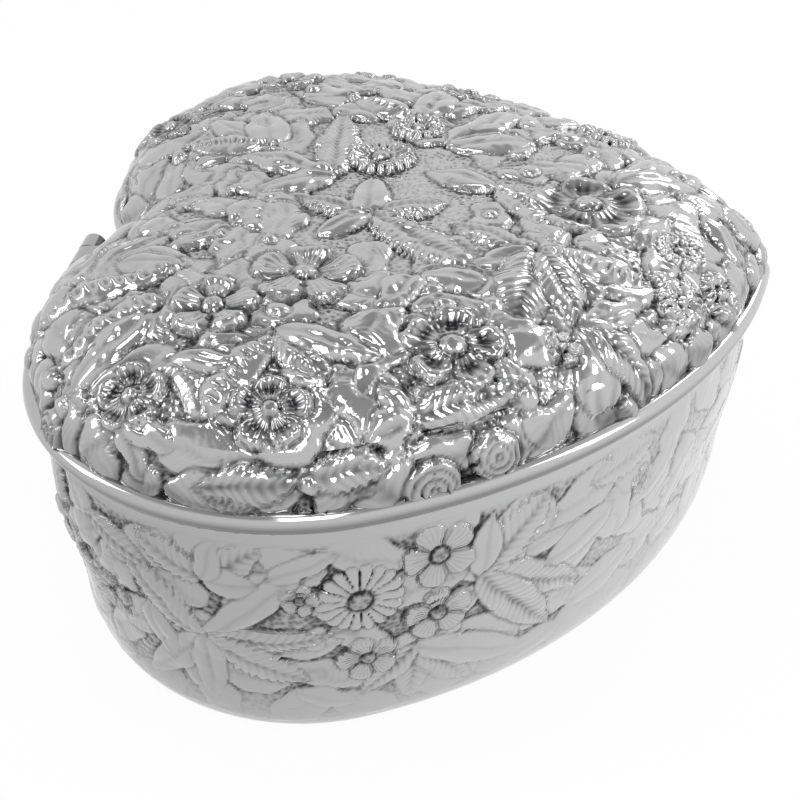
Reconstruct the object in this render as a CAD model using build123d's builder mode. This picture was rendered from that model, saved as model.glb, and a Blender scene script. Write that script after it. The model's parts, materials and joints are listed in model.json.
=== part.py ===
"""A heart-shaped music box: a domed metal lid hinged on a lined base, with a wind-up movement inside.

Millimetres. +Z is up and the heart's tip points to -Y. The origin is under the middle of the
closed box, on the surface that it stands on.
"""

import os
from math import atan2, cos, degrees, hypot, pi, radians, sin, sqrt

from build123d import *

os.makedirs("parts", exist_ok=True)

# Heart outline, measured at the lid's rim
CASE_WIDTH = 110.0
LOBE_RADIUS = 33.7
FLANK_RADIUS = 82.0
FLANK_ANGLE = -17.7
TIP_RADIUS = 4.7
LEAST_TIP_RADIUS = 3.0
CLEFT_RADIUS = 3.0

# Lid
SEAM_HEIGHT = 35.5
RIM_HEIGHT = 1.5
RIM_WIDTH = 1.4
RIM_ROUND = 0.7
RIM_UNDER_ROUND = 0.5
DOME_RISE = 12.0
DOME_RUN = 23.0
DOME_POWER = 2.25
DOME_STEPS = (0, 16, 34, 54, 74, 90)
LID_WALL = 1.4
LID_GAP = 0.15

# Relief of the lid: flowers and sprays of leaves, placed in plan for a case of the drawn width
DRAWN_WIDTH = 110.0
RELIEF_HEIGHT = 0.8
RELIEF_MARGIN = 1.6
PETALS = 5
PETAL_REACH = 0.54
PETAL_SHARE = 0.46
ROW_PITCH = 8.0
ROW_STEP = 8.0
ROW_LEAF_LENGTH = 6.5
ROW_LEAF_WIDTH = 2.6
ROW_LEAF_TURN = 35.0
ROWS = 3

# Flowers with five petals, then daisies and rosettes: middle and radius
PETAL_FLOWERS = (
    ((-26, 12), 6.6),
    ((-33, 21.5), 5.1),
    ((-47.5, 13.5), 4.2),
    ((-44.5, 28.5), 4.0),
    ((-37.5, -5), 5.6),
    ((-7, -22.5), 7.5),
    ((-35, -17), 2.0),
)
ROUND_FLOWERS = (
    ((7, 5), 4.7),
    ((17.5, 0), 4.0),
    ((-14.5, -33), 3.1),
    ((-22.5, -32), 3.1),
    ((-17.5, -38), 3.0),
    ((-49, -3), 2.8),
    ((-45.5, -9.5), 2.7),
    ((-41.5, 38.5), 2.6),
)

# Sprays: the stalk's place, then the heading, length and width of each leaf
SPRAYS = (
    ((-10, 6), ((67, 10, 3), (-72, 10.5, 3), (-2, 11, 3.5), (-137, 21.5, 4), (138, 8.5, 3))),
    ((-19.5, -15), ((57, 12, 3.5), (115, 8.5, 3), (166, 13, 5))),
    ((-19.5, -15), ((-137, 11.5, 3.5), (-102, 13.5, 3.5), (-161, 13.5, 3.5))),
    ((1, 11.5), ((0, 22, 4), (63, 15, 3.5), (118, 11, 3.5))),
    ((-25, 27), ((106, 17, 2.5), (67, 9, 3))),
    ((-30, 27), ((124, 14, 3),)),
    ((-34, 28.5), ((138, 10.5, 3),)),
    ((-37, 14), ((150, 13, 3), (-141, 9, 3), (-107, 11.5, 3))),
    ((-46.5, -0.5), ((48, 4.5, 2), (-62, 13, 3), (116, 5, 2.4))),
    ((-31, -19), ((-160, 7.5, 5.5), (-107, 9, 3.5), (-56, 10, 2.5))),
    ((-5, -38), ((-145, 6.5, 2.6),)),
    ((-46, 29), ((-151, 5.5, 2.3), (-126, 7, 2.3))),
    ((-52.5, 20.5), ((-90, 10, 2.6),)),
    ((-52, 9), ((-75, 8, 2.4),)),
    ((21, 0), ((50, 14.5, 4), (-20, 14, 4))),
    ((11, -4.5), ((-37, 17.5, 4.5), (-80, 12, 4))),
    ((-1, -27), ((-36, 15, 3.6), (-70, 12, 3.5))),
    ((-2, -11), ((61, 10.8, 3.5), (-149, 13, 3))),
    ((10, 21), ((45, 15, 3.8), (80, 13, 3.4), (10, 13, 4))),
    ((-26, -1), ((147, 8, 3), (-95, 8, 3))),
    ((-42, 18), ((80, 7, 2.3),)),
)

# Base
BASE_WALL = 1.6
BASE_REVEAL = 1.4
BELT_HEIGHT = 27.0
FOOT_INSET = 2.7
FOOT_ROUND = 1.6
FOOT_WIDTH = 2.2
BASE_POWER = 1.6
RECESS_HEIGHT = 7.4
FLOOR_THICKNESS = 1.2

# Linings
LINING_THICKNESS = 1.0
LINING_CLEARANCE = 0.3
LID_LINING_THICKNESS = 1.2
COLLAR_THICKNESS = 1.2
TRAY_THICKNESS = 1.4
TRAY_CLEARANCE = 0.5

# Hinge
HINGE_PIN_RADIUS = 0.7
HINGE_BARREL_RADIUS = 1.7
HINGE_SETBACK = 0.4
HINGE_LENGTH = 12.0
HINGE_KNUCKLE = 4.6
HINGE_LEAF = 1.3
KNUCKLE_GAP = 0.2
LEAF_GAP = 0.1

# Fits between shafts and bores
RUNNING_FIT = 0.04
PRESS_FIT = 0.01
HOLE_CLEARANCE = 0.5

# Bedplate, which stands on the base's floor
BED_LENGTH = 54.0
BED_DEPTH = 42.0
BED_THICKNESS = 1.6
BED_CORNER = 3.0
BED_Y = 3.0

# Cylinder, its shaft lying along X over the bedplate
AXIS_HEIGHT = 9.0
CYLINDER_RADIUS = 5.9
CYLINDER_LENGTH = 20.0
CYLINDER_WALL = 0.8
CYLINDER_OFFSET = 3.6
CYLINDER_ARBOR_RADIUS = 1.0
PIN_RADIUS = 0.2
PIN_HEIGHT = 0.6
PINS_PER_TRACK = 3
PIN_TURN = 137.5
NOTES = 18
POST_THICKNESS = 1.2
POST_WIDTH = 6.0
POST_TOP = 2.2
END_PLAY = 0.6

# Comb
COMB_THICKNESS = 1.0
COMB_MARGIN = 0.6
COMB_DEPTH = 13.5
COMB_BASE = 5.0
COMB_SLOT = 0.3
SHORT_TOOTH = 6.0
TIP_GAP = 0.15
WEIGHTED_TEETH = 6
WEIGHT_LENGTH = 2.6
WEIGHT_HEIGHT = 1.2
WEIGHT_SETBACK = 0.6

# Gear teeth, as shares of the module and of the pitch
TOOTH_TIP = 0.7
TOOTH_ROOT = 1.0
TIP_SHARE = 0.10
ROOT_SHARE = 0.20

# Drive from the spring to the cylinder
CROWN_TEETH = 40
PINION_TEETH = 10
CROWN_DIAMETER = 24.0
DRIVE_FACE = 2.4
CROWN_THICKNESS = 1.2
HOUSING_WALL = 0.8
HOUSING_GAP = 0.5
COVER_THICKNESS = 0.8
ARBOR_RADIUS = 1.5
SPRING_THICKNESS = 0.35
SPRING_PITCH = 0.9
SPRING_WIDTH = 8.0
RATCHET_RADIUS = 4.4
RATCHET_DEPTH = 0.8
RATCHET_TEETH = 14
RATCHET_THICKNESS = 0.9
CLICK_PIVOT = 7.4
CLICK_RADIUS = 1.1
CLICK_THICKNESS = 0.8
CLICK_SHARE = 0.8

# Key under the floor
KEY_THICKNESS = 1.4
KEY_SPAN = 15.0
KEY_WING_RADIUS = 3.0
KEY_WING_HOLE = 1.4
KEY_HUB_RADIUS = 2.6
KEY_LIFT = 0.8
KEY_TOP_GAP = 0.5

# Governor
GOVERNOR_GEAR_TEETH = 36
GOVERNOR_PINION_TEETH = 9
GOVERNOR_GEAR_DIAMETER = 16.38
GOVERNOR_FACE = 1.4
GOVERNOR_ARBOR_RADIUS = 0.8
WORM_WHEEL_TEETH = 12
WORM_WHEEL_DIAMETER = 6.0
WORM_RADIUS = 1.5
WORM_TURNS = 4
FLY_PIVOT_RADIUS = 0.5
FLY_RADIUS = 4.0
FLY_HEIGHT = 3.4
FLY_THICKNESS = 0.5
FLY_LIFT = 0.5
FRAME_THICKNESS = 1.0
FRAME_SPAN = 9.6
FRAME_DEPTH = 5.2
FRAME_HEIGHT = 14.0

# Stop wire, pressed by the lid
WIRE_RADIUS = 0.5
WIRE_BEND = 1.6
WIRE_GAP = 0.3
GUIDE_THICKNESS = 1.0
GUIDE_DEPTH = 3.4
GUIDE_EYE = 1.6
GUIDE_REACH = 3.0
GUIDE_FOOT = 4.5
GUIDE_HEIGHT = 13.5

# Screws
SCREW_RADIUS = 0.9
SCREW_HEAD_RADIUS = 1.7
SCREW_HEAD = 1.0
SCREW_EDGE = 4.0

# Heart centres, placed so that the box, hinge barrel included, is centred on Y
LOBE_X = CASE_WIDTH / 2 - LOBE_RADIUS
FLANK_SETBACK = LOBE_RADIUS - FLANK_RADIUS
FLANK_X = LOBE_X + FLANK_SETBACK * cos(radians(FLANK_ANGLE))
FLANK_RISE = FLANK_SETBACK * sin(radians(FLANK_ANGLE))
TIP_DROP = sqrt((FLANK_RADIUS - TIP_RADIUS) ** 2 - FLANK_X**2) + TIP_RADIUS - FLANK_RISE
HINGE_REACH = LOBE_RADIUS + HINGE_SETBACK + HINGE_BARREL_RADIUS
LOBE_Y = (TIP_DROP - HINGE_REACH) / 2
FLANK_Y = LOBE_Y + FLANK_RISE
CLEFT_Y = LOBE_Y + sqrt((LOBE_RADIUS + CLEFT_RADIUS) ** 2 - LOBE_X**2)

# Heights of the case
RIM_TOP = SEAM_HEIGHT + RIM_HEIGHT
BASE_TOP = SEAM_HEIGHT - LID_GAP
FLOOR_TOP = RECESS_HEIGHT + FLOOR_THICKNESS
BED_TOP = FLOOR_TOP + BED_THICKNESS

# Movement, measured from the middle of the cylinder's shaft over the bedplate
DRIVE_MODULE = CROWN_DIAMETER / CROWN_TEETH
CROWN_RADIUS = CROWN_DIAMETER / 2
PINION_RADIUS = PINION_TEETH * DRIVE_MODULE / 2
CYLINDER_START = CYLINDER_OFFSET - CYLINDER_LENGTH / 2
CYLINDER_END = CYLINDER_OFFSET + CYLINDER_LENGTH / 2
LEFT_POST_END = CYLINDER_START - END_PLAY
LEFT_POST_START = LEFT_POST_END - POST_THICKNESS
PINION_END = LEFT_POST_START - END_PLAY
PINION_START = PINION_END - DRIVE_FACE
WINDING_X = PINION_START + DRIVE_FACE / 2 - CROWN_RADIUS
GEAR_START = CYLINDER_END + PRESS_FIT
GEAR_END = GEAR_START + GOVERNOR_FACE
RIGHT_POST_START = GEAR_END + END_PLAY
RIGHT_POST_END = RIGHT_POST_START + POST_THICKNESS
CROWN_OUTER = CROWN_RADIUS + DRIVE_FACE / 2
CROWN_INNER = CROWN_RADIUS - DRIVE_FACE / 2
HOUSING_RADIUS = CROWN_INNER - END_PLAY
BED_START = RIGHT_POST_END + END_PLAY - BED_LENGTH
BED_X = -(BED_START + BED_LENGTH / 2)
MESH_HEIGHT = AXIS_HEIGHT + PINION_RADIUS
CROWN_TIP = MESH_HEIGHT - TOOTH_TIP * DRIVE_MODULE
CROWN_ROOT = MESH_HEIGHT + TOOTH_ROOT * DRIVE_MODULE
CROWN_TOP = CROWN_ROOT + CROWN_THICKNESS
HOUSING_HEIGHT = CROWN_ROOT - HOUSING_GAP
RATCHET_TOP = CROWN_TOP + RATCHET_THICKNESS

# Governor, its frame clear of the cylinder's gear
FRAME_END = CYLINDER_END - END_PLAY
FRAME_START = FRAME_END - FRAME_SPAN
WORM_WHEEL_X = FRAME_START + FRAME_SPAN / 2
GOVERNOR_MODULE = GOVERNOR_GEAR_DIAMETER / GOVERNOR_GEAR_TEETH
GOVERNOR_GEAR_RADIUS = GOVERNOR_GEAR_DIAMETER / 2
GOVERNOR_Y = GOVERNOR_GEAR_RADIUS + GOVERNOR_PINION_TEETH * GOVERNOR_MODULE / 2
WORM_MODULE = WORM_WHEEL_DIAMETER / WORM_WHEEL_TEETH
WORM_WHEEL_RADIUS = WORM_WHEEL_DIAMETER / 2
WORM_Y = GOVERNOR_Y + WORM_WHEEL_RADIUS + WORM_RADIUS
WORM_PITCH = pi * WORM_MODULE
WORM_OUTER = WORM_RADIUS + TOOTH_TIP * WORM_MODULE
WORM_ROOT = WORM_RADIUS - TOOTH_ROOT * WORM_MODULE
FLY_START = FRAME_THICKNESS + FLY_LIFT
FLY_END = FLY_START + FLY_HEIGHT

# Comb
COMB_TIP_Y = -(CYLINDER_RADIUS + PIN_HEIGHT + TIP_GAP)
COMB_BACK_Y = COMB_TIP_Y - COMB_DEPTH
TRACK = (CYLINDER_LENGTH - 2 * COMB_MARGIN) / NOTES
LONG_TOOTH = COMB_DEPTH - COMB_BASE

# Tray and linings
MOVEMENT_HEIGHT = AXIS_HEIGHT + GOVERNOR_GEAR_RADIUS + TOOTH_TIP * GOVERNOR_MODULE
TRAY_UNDER = BED_TOP + MOVEMENT_HEIGHT + TRAY_CLEARANCE
TRAY_TOP = TRAY_UNDER + TRAY_THICKNESS
LID_LINING_FOOT = SEAM_HEIGHT + LINING_CLEARANCE
LID_LINING_INSET = LID_WALL + LINING_CLEARANCE


def heart(inset):
    """Draw the case outline, set in by `inset`: cleft, lobes, flanks and tip."""
    lobe = LOBE_RADIUS - inset
    flank = FLANK_RADIUS - inset
    tip = max(TIP_RADIUS - inset, LEAST_TIP_RADIUS)
    tip_y = FLANK_Y - sqrt((flank - tip) ** 2 - FLANK_X**2)
    cleft_angle = atan2(CLEFT_Y - LOBE_Y, -LOBE_X)
    flank_angle = radians(FLANK_ANGLE)
    tip_angle = atan2(tip_y - FLANK_Y, -FLANK_X)

    def on_lobe(angle):
        return LOBE_X + lobe * cos(angle), LOBE_Y + lobe * sin(angle)

    def on_flank(angle):
        return FLANK_X + flank * cos(angle), FLANK_Y + flank * sin(angle)

    def left(point):
        return -point[0], point[1]

    notch = on_lobe(cleft_angle)
    crown = on_lobe((cleft_angle + flank_angle) / 2)
    hip = on_lobe(flank_angle)
    side = on_flank((flank_angle + tip_angle) / 2)
    point = on_flank(tip_angle)
    with BuildSketch(mode=Mode.PRIVATE) as outline:
        with BuildLine():
            ThreePointArc(left(notch), (0, CLEFT_Y - CLEFT_RADIUS - inset), notch)
            ThreePointArc(notch, crown, hip)
            ThreePointArc(hip, side, point)
            ThreePointArc(point, (0, tip_y - tip), left(point))
            ThreePointArc(left(point), left(side), left(hip))
            ThreePointArc(left(hip), left(crown), left(notch))
        make_face()
    return outline.sketch


def dome_levels(wall):
    """Give the inset and height of each level of the dome, `wall` inside its outer face."""
    levels = []
    for degrees in DOME_STEPS:
        turn = radians(degrees)
        inset = RIM_WIDTH + wall + DOME_RUN * (1 - abs(cos(turn)) ** (2 / DOME_POWER))
        height = RIM_TOP - wall + DOME_RISE * sin(turn) ** (2 / DOME_POWER)
        levels.append((inset, height))
    return levels


def leaf(stalk, heading, length, width):
    """Draw a leaf in plan from its stalk, with two arcs that meet at the tip."""
    ahead = cos(radians(heading)), sin(radians(heading))
    middle = stalk[0] + length / 2 * ahead[0], stalk[1] + length / 2 * ahead[1]
    tip = stalk[0] + length * ahead[0], stalk[1] + length * ahead[1]
    half = width / 2
    with BuildSketch(mode=Mode.PRIVATE) as outline:
        with BuildLine():
            ThreePointArc(stalk, (middle[0] - half * ahead[1], middle[1] + half * ahead[0]), tip)
            ThreePointArc(tip, (middle[0] + half * ahead[1], middle[1] - half * ahead[0]), stalk)
        make_face()
    return outline.sketch


def wall_inset(height):
    """Give the set-in of the base's outer face: straight above the belt, drawn in below it."""
    drop = max(0.0, 1 - height / BELT_HEIGHT)
    return BASE_REVEAL + (FOOT_INSET - BASE_REVEAL) * drop**BASE_POWER


def gear(teeth, module, phase):
    """Draw a gear with thin straight-flanked teeth, with one tooth at the angle `phase`."""
    root = teeth * module / 2 - TOOTH_ROOT * module
    tip = teeth * module / 2 + TOOTH_TIP * module
    step = 360 / teeth
    corners = ((root, -ROOT_SHARE), (tip, -TIP_SHARE), (tip, TIP_SHARE), (root, ROOT_SHARE))
    points = []
    for tooth in range(teeth):
        for radius, share in corners:
            angle = radians(phase + (tooth + share) * step)
            points.append((radius * cos(angle), radius * sin(angle)))
    with BuildSketch(mode=Mode.PRIVATE) as outline:
        with BuildLine():
            Polyline(*points, close=True)
        make_face()
    return outline.sketch


def on_bed(x, y):
    """Give the place in plan of a point of the movement."""
    return BED_X + x, BED_Y + y


def square_to_shaft(x):
    """Give the plane square to the cylinder's shaft, with Y across and Z up."""
    return Plane.YZ.offset(BED_X + x)


def beside_shaft(y, z):
    """Give a point of that plane from its distance behind the shaft and over the bedplate."""
    return BED_Y + y, BED_TOP + z


def bed_level(z):
    """Give the level plane at a height over the bedplate."""
    return Plane.XY.offset(BED_TOP + z)


def finish(builder, name):
    """Label a finished piece and write it."""
    builder.part.label = name
    export_step(builder.part, f"parts/{name}.step")


MOVEMENT_SCREWS = [
    on_bed(BED_START + SCREW_EDGE, BED_DEPTH / 2 - SCREW_EDGE),
    on_bed(BED_START + SCREW_EDGE, SCREW_EDGE - BED_DEPTH / 2),
    on_bed(BED_START + BED_LENGTH - SCREW_EDGE, SCREW_EDGE - BED_DEPTH / 2),
]
WINDING_PLACE = on_bed(WINDING_X, 0)


# Base shell: a drawn wall, a raised floor and a recess under it for the key
BASE_LEVELS = (FOOT_ROUND, BELT_HEIGHT / 3, BELT_HEIGHT * 2 / 3, BELT_HEIGHT, BASE_TOP)
with BuildPart() as base_shell:
    with BuildSketch():
        add(heart(wall_inset(0) + FOOT_ROUND / 2))
    for level in BASE_LEVELS:
        with BuildSketch(Plane.XY.offset(level)):
            add(heart(wall_inset(level)))
    loft()
    for level in (FLOOR_TOP, (FLOOR_TOP + BELT_HEIGHT) / 2, BELT_HEIGHT, BASE_TOP):
        with BuildSketch(Plane.XY.offset(level)):
            add(heart(wall_inset(level) + BASE_WALL))
    loft(mode=Mode.SUBTRACT)
    with BuildSketch():
        add(heart(wall_inset(0) + FOOT_ROUND / 2 + FOOT_WIDTH))
    with BuildSketch(Plane.XY.offset(RECESS_HEIGHT)):
        add(heart(wall_inset(RECESS_HEIGHT) + FOOT_WIDTH))
    loft(ruled=True, mode=Mode.SUBTRACT)
    with BuildSketch(Plane.XY.offset(RECESS_HEIGHT)):
        with Locations(WINDING_PLACE):
            Circle(ARBOR_RADIUS + HOLE_CLEARANCE)
        with Locations(*MOVEMENT_SCREWS):
            Circle(SCREW_RADIUS + RUNNING_FIT)
    extrude(amount=FLOOR_THICKNESS, mode=Mode.SUBTRACT)
finish(base_shell, "base_shell")

# Lid shell: a bead rim and a dome with steep shoulders
with BuildPart() as lid_shell:
    with BuildSketch(Plane.XY.offset(SEAM_HEIGHT)):
        add(heart(0))
    extrude(amount=RIM_HEIGHT)
    fillet(lid_shell.edges().group_by(Axis.Z)[-1], RIM_ROUND)
    fillet(lid_shell.edges().group_by(Axis.Z)[0], RIM_UNDER_ROUND)
    for inset, height in dome_levels(0):
        with BuildSketch(Plane.XY.offset(height)):
            add(heart(inset))
    loft()
    with BuildSketch(Plane.XY.offset(RIM_TOP - LID_WALL)):
        add(heart(RIM_WIDTH + LID_WALL))
    extrude(amount=-RIM_HEIGHT, mode=Mode.SUBTRACT)
    for inset, height in dome_levels(LID_WALL):
        with BuildSketch(Plane.XY.offset(height)):
            add(heart(inset))
    loft(mode=Mode.SUBTRACT)
finish(lid_shell, "lid_shell")

# Relief of the lid: sprays, flowers and rows of small leaves, raised over the dome
PLAN_SCALE = CASE_WIDTH / DRAWN_WIDTH
RELIEF_EDGE = RIM_WIDTH + RELIEF_MARGIN
relief_leaves = []
taken = [(flower, radius) for flower, radius in PETAL_FLOWERS + ROUND_FLOWERS]
for stalk, blades in SPRAYS:
    for heading, length, width in blades:
        relief_leaves.append(leaf(stalk, heading, length, width))
        for share in (0.2, 0.5, 0.8):
            reach = share * length
            spot = stalk[0] + reach * cos(radians(heading)), stalk[1] + reach * sin(radians(heading))
            taken.append((spot, width / 2))
for row in range(ROWS):
    row_line = heart(RELIEF_EDGE + ROW_LEAF_WIDTH + row * ROW_PITCH).faces()[0].outer_wire()
    count = int(row_line.length / ROW_STEP)
    for place in range(count):
        spot = row_line.position_at((place + 0.5) / count) / PLAN_SCALE
        along = row_line.tangent_at((place + 0.5) / count)
        if any(hypot(spot.X - x, spot.Y - y) < reach + ROW_LEAF_WIDTH / 2 for (x, y), reach in taken):
            continue
        turn = ROW_LEAF_TURN if place % 2 else -ROW_LEAF_TURN
        heading = degrees(atan2(along.Y, along.X)) + turn
        back = ROW_LEAF_LENGTH / 2
        stalk = spot.X - back * cos(radians(heading)), spot.Y - back * sin(radians(heading))
        relief_leaves.append(leaf(stalk, heading, ROW_LEAF_LENGTH, ROW_LEAF_WIDTH))
with BuildSketch(mode=Mode.PRIVATE) as relief_plan:
    add(relief_leaves)
    for flower, radius in PETAL_FLOWERS:
        with Locations(flower):
            Circle(radius * (PETAL_REACH - PETAL_SHARE / 2))
            with PolarLocations(radius * PETAL_REACH, PETALS):
                Circle(radius * PETAL_SHARE)
    for flower, radius in ROUND_FLOWERS:
        with Locations(flower):
            Circle(radius)
with BuildPart() as lid_relief:
    with BuildSketch(Plane.XY.offset(RIM_TOP)):
        add(scale(relief_plan.sketch, PLAN_SCALE))
        add(heart(RELIEF_EDGE), mode=Mode.INTERSECT)
    extrude(amount=DOME_RISE + 2 * RELIEF_HEIGHT)
    for inset, height in dome_levels(-RELIEF_HEIGHT):
        with BuildSketch(Plane.XY.offset(height)):
            add(heart(inset))
    loft(mode=Mode.INTERSECT)
    for inset, height in dome_levels(0):
        with BuildSketch(Plane.XY.offset(height)):
            add(heart(inset))
    loft(mode=Mode.SUBTRACT)
finish(lid_relief, "lid_relief")

# Lid lining: a padded velvet skin under the dome
with BuildPart() as lid_lining:
    with BuildSketch(Plane.XY.offset(RIM_TOP - LID_LINING_INSET)):
        add(heart(RIM_WIDTH + LID_LINING_INSET))
    extrude(amount=-RIM_HEIGHT)
    for inset, height in dome_levels(LID_LINING_INSET):
        with BuildSketch(Plane.XY.offset(height)):
            add(heart(inset))
    loft()
    lining_inside = LID_LINING_INSET + LID_LINING_THICKNESS
    with BuildSketch(Plane.XY.offset(RIM_TOP - lining_inside)):
        add(heart(RIM_WIDTH + lining_inside))
    extrude(amount=-RIM_HEIGHT, mode=Mode.SUBTRACT)
    for inset, height in dome_levels(lining_inside):
        with BuildSketch(Plane.XY.offset(height)):
            add(heart(inset))
    loft(mode=Mode.SUBTRACT)
    split(bisect_by=Plane.XY.offset(LID_LINING_FOOT), keep=Keep.TOP)
finish(lid_lining, "lid_lining")

# Collar, tray board and rim lining, which hide the movement
COLLAR_INSET = wall_inset(FLOOR_TOP) + BASE_WALL + LINING_CLEARANCE
TRAY_INSET = BASE_REVEAL + BASE_WALL + LINING_CLEARANCE
COLLAR_BACK_Y = CLEFT_Y - CLEFT_RADIUS - COLLAR_INSET - COLLAR_THICKNESS
WIRE_Y = COLLAR_BACK_Y - LINING_CLEARANCE - 2 * WIRE_RADIUS
WIRE_SLOT = WIRE_RADIUS + HOLE_CLEARANCE
WIRE_NOTCH = WIRE_SLOT + LINING_THICKNESS
FINGER_Z = FLY_END + WIRE_GAP + WIRE_RADIUS
WIRE_TOP_INSET = RIM_WIDTH + LID_LINING_INSET + LID_LINING_THICKNESS - WIRE_RADIUS
WIRE_TOP_Y = CLEFT_Y - CLEFT_RADIUS - WIRE_TOP_INSET
with BuildPart() as tray_collar:
    with BuildSketch(Plane.XY.offset(FLOOR_TOP)):
        add(heart(COLLAR_INSET))
        add(heart(COLLAR_INSET + COLLAR_THICKNESS), mode=Mode.SUBTRACT)
    extrude(amount=TRAY_UNDER - FLOOR_TOP)
finish(tray_collar, "tray_collar")

with BuildPart() as tray_board:
    with BuildSketch(Plane.XY.offset(TRAY_UNDER)):
        add(heart(TRAY_INSET))
        with BuildLine():
            slot_back = (0, CLEFT_Y)
            Line((0, WIRE_Y), slot_back)
        trace(line_width=2 * WIRE_SLOT, mode=Mode.SUBTRACT)
        with Locations((0, WIRE_Y)):
            Circle(WIRE_SLOT, mode=Mode.SUBTRACT)
    extrude(amount=TRAY_THICKNESS)
finish(tray_board, "tray_board")

with BuildPart() as rim_lining:
    with BuildSketch(Plane.XY.offset(TRAY_TOP)):
        add(heart(TRAY_INSET))
        add(heart(TRAY_INSET + LINING_THICKNESS), mode=Mode.SUBTRACT)
        with Locations((0, WIRE_TOP_Y)):
            Circle(WIRE_NOTCH, mode=Mode.SUBTRACT)
    extrude(amount=BASE_TOP - LINING_CLEARANCE - TRAY_TOP)
finish(rim_lining, "rim_lining")

# Hinge in the cleft, its axis along X behind the lobes at the height of the seam
HINGE_Y = LOBE_Y + LOBE_RADIUS + HINGE_SETBACK
HINGE_POINT = (HINGE_Y, SEAM_HEIGHT)
LEAF_LEVEL = HINGE_BARREL_RADIUS - HINGE_LEAF
HINGE_BORE = HINGE_PIN_RADIUS + RUNNING_FIT


def leaf_sketch(width, inset):
    """Draw a leaf that reaches from the barrel into the cleft, up to the wall set in by `inset`."""
    depth = HINGE_Y - CLEFT_Y + CLEFT_RADIUS + inset
    with BuildSketch(mode=Mode.PRIVATE) as outline:
        with Locations((0, HINGE_Y - depth / 2)):
            Rectangle(width, depth)
        add(heart(inset - LEAF_GAP), mode=Mode.SUBTRACT)
    return outline.sketch


OUTER_KNUCKLE = (HINGE_LENGTH - HINGE_KNUCKLE) / 2 - KNUCKLE_GAP
with BuildPart() as hinge_base_leaf:
    with BuildSketch(Plane.XY.offset(SEAM_HEIGHT - HINGE_BARREL_RADIUS)):
        add(leaf_sketch(HINGE_LENGTH, BASE_REVEAL))
    extrude(amount=HINGE_LEAF)
    for side in (-1, 1):
        start = side * (HINGE_LENGTH / 2)
        with BuildSketch(Plane.YZ.offset(start)):
            with Locations(HINGE_POINT):
                Circle(HINGE_BARREL_RADIUS)
        extrude(amount=-side * OUTER_KNUCKLE)
    with BuildSketch(Plane.YZ):
        with Locations(HINGE_POINT):
            Circle(HINGE_BARREL_RADIUS + LEAF_GAP)
    extrude(amount=HINGE_KNUCKLE / 2 + KNUCKLE_GAP, both=True, mode=Mode.SUBTRACT)
    with BuildSketch(Plane.YZ):
        with Locations(HINGE_POINT):
            Circle(HINGE_BORE)
    extrude(amount=HINGE_LENGTH / 2, both=True, mode=Mode.SUBTRACT)
finish(hinge_base_leaf, "hinge_base_leaf")

with BuildPart() as hinge_lid_leaf:
    with BuildSketch(Plane.XY.offset(SEAM_HEIGHT + LEAF_LEVEL)):
        add(leaf_sketch(HINGE_KNUCKLE, 0))
    extrude(amount=HINGE_LEAF)
    with BuildSketch(Plane.YZ):
        with Locations(HINGE_POINT):
            Circle(HINGE_BARREL_RADIUS)
    extrude(amount=HINGE_KNUCKLE / 2, both=True)
    with BuildSketch(Plane.YZ):
        with Locations(HINGE_POINT):
            Circle(HINGE_BORE)
    extrude(amount=HINGE_KNUCKLE / 2, both=True, mode=Mode.SUBTRACT)
finish(hinge_lid_leaf, "hinge_lid_leaf")

with BuildPart() as hinge_pin:
    with BuildSketch(Plane.YZ):
        with Locations(HINGE_POINT):
            Circle(HINGE_PIN_RADIUS)
    extrude(amount=HINGE_LENGTH / 2, both=True)
finish(hinge_pin, "hinge_pin")

# Bedplate with the cylinder's posts and the comb's rest
COMB_CENTRE = CYLINDER_OFFSET
COMB_LENGTH = CYLINDER_LENGTH - COMB_MARGIN
COMB_SCREW_Y = COMB_BACK_Y + COMB_BASE / 2
COMB_SCREWS = [on_bed(COMB_CENTRE + side * COMB_LENGTH / 3, COMB_SCREW_Y) for side in (-1, 1)]
COMB_UNDER = AXIS_HEIGHT - COMB_THICKNESS / 2
FRAME_FRONT = GOVERNOR_Y - FRAME_DEPTH / 2
FRAME_BACK = WORM_Y + WORM_OUTER + FRAME_THICKNESS
FRAME_EAR = SCREW_HEAD_RADIUS + HOLE_CLEARANCE
GOVERNOR_SCREWS = [on_bed(x, GOVERNOR_Y) for x in (FRAME_START - FRAME_EAR, FRAME_END + FRAME_EAR)]
with BuildPart() as bedplate:
    with BuildSketch(Plane.XY.offset(FLOOR_TOP)):
        with Locations(on_bed(BED_START + BED_LENGTH / 2, 0)):
            RectangleRounded(BED_LENGTH, BED_DEPTH, BED_CORNER)
        with Locations(WINDING_PLACE):
            Circle(ARBOR_RADIUS + RUNNING_FIT, mode=Mode.SUBTRACT)
        with Locations(*MOVEMENT_SCREWS, *GOVERNOR_SCREWS):
            Circle(SCREW_RADIUS + PRESS_FIT, mode=Mode.SUBTRACT)
    extrude(amount=BED_THICKNESS)
    for start in (LEFT_POST_START, RIGHT_POST_START):
        with BuildSketch(square_to_shaft(start)):
            with Locations(beside_shaft(0, AXIS_HEIGHT / 2)):
                Rectangle(POST_WIDTH, AXIS_HEIGHT)
            with Locations(beside_shaft(0, AXIS_HEIGHT)):
                Circle(POST_TOP)
                Circle(CYLINDER_ARBOR_RADIUS + RUNNING_FIT, mode=Mode.SUBTRACT)
        extrude(amount=POST_THICKNESS)
    with BuildSketch(bed_level(0)):
        with Locations(on_bed(COMB_CENTRE, COMB_SCREW_Y)):
            Rectangle(COMB_LENGTH, COMB_BASE)
        with Locations(*COMB_SCREWS):
            Circle(SCREW_RADIUS + PRESS_FIT, mode=Mode.SUBTRACT)
    extrude(amount=COMB_UNDER)
finish(bedplate, "bedplate")


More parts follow.
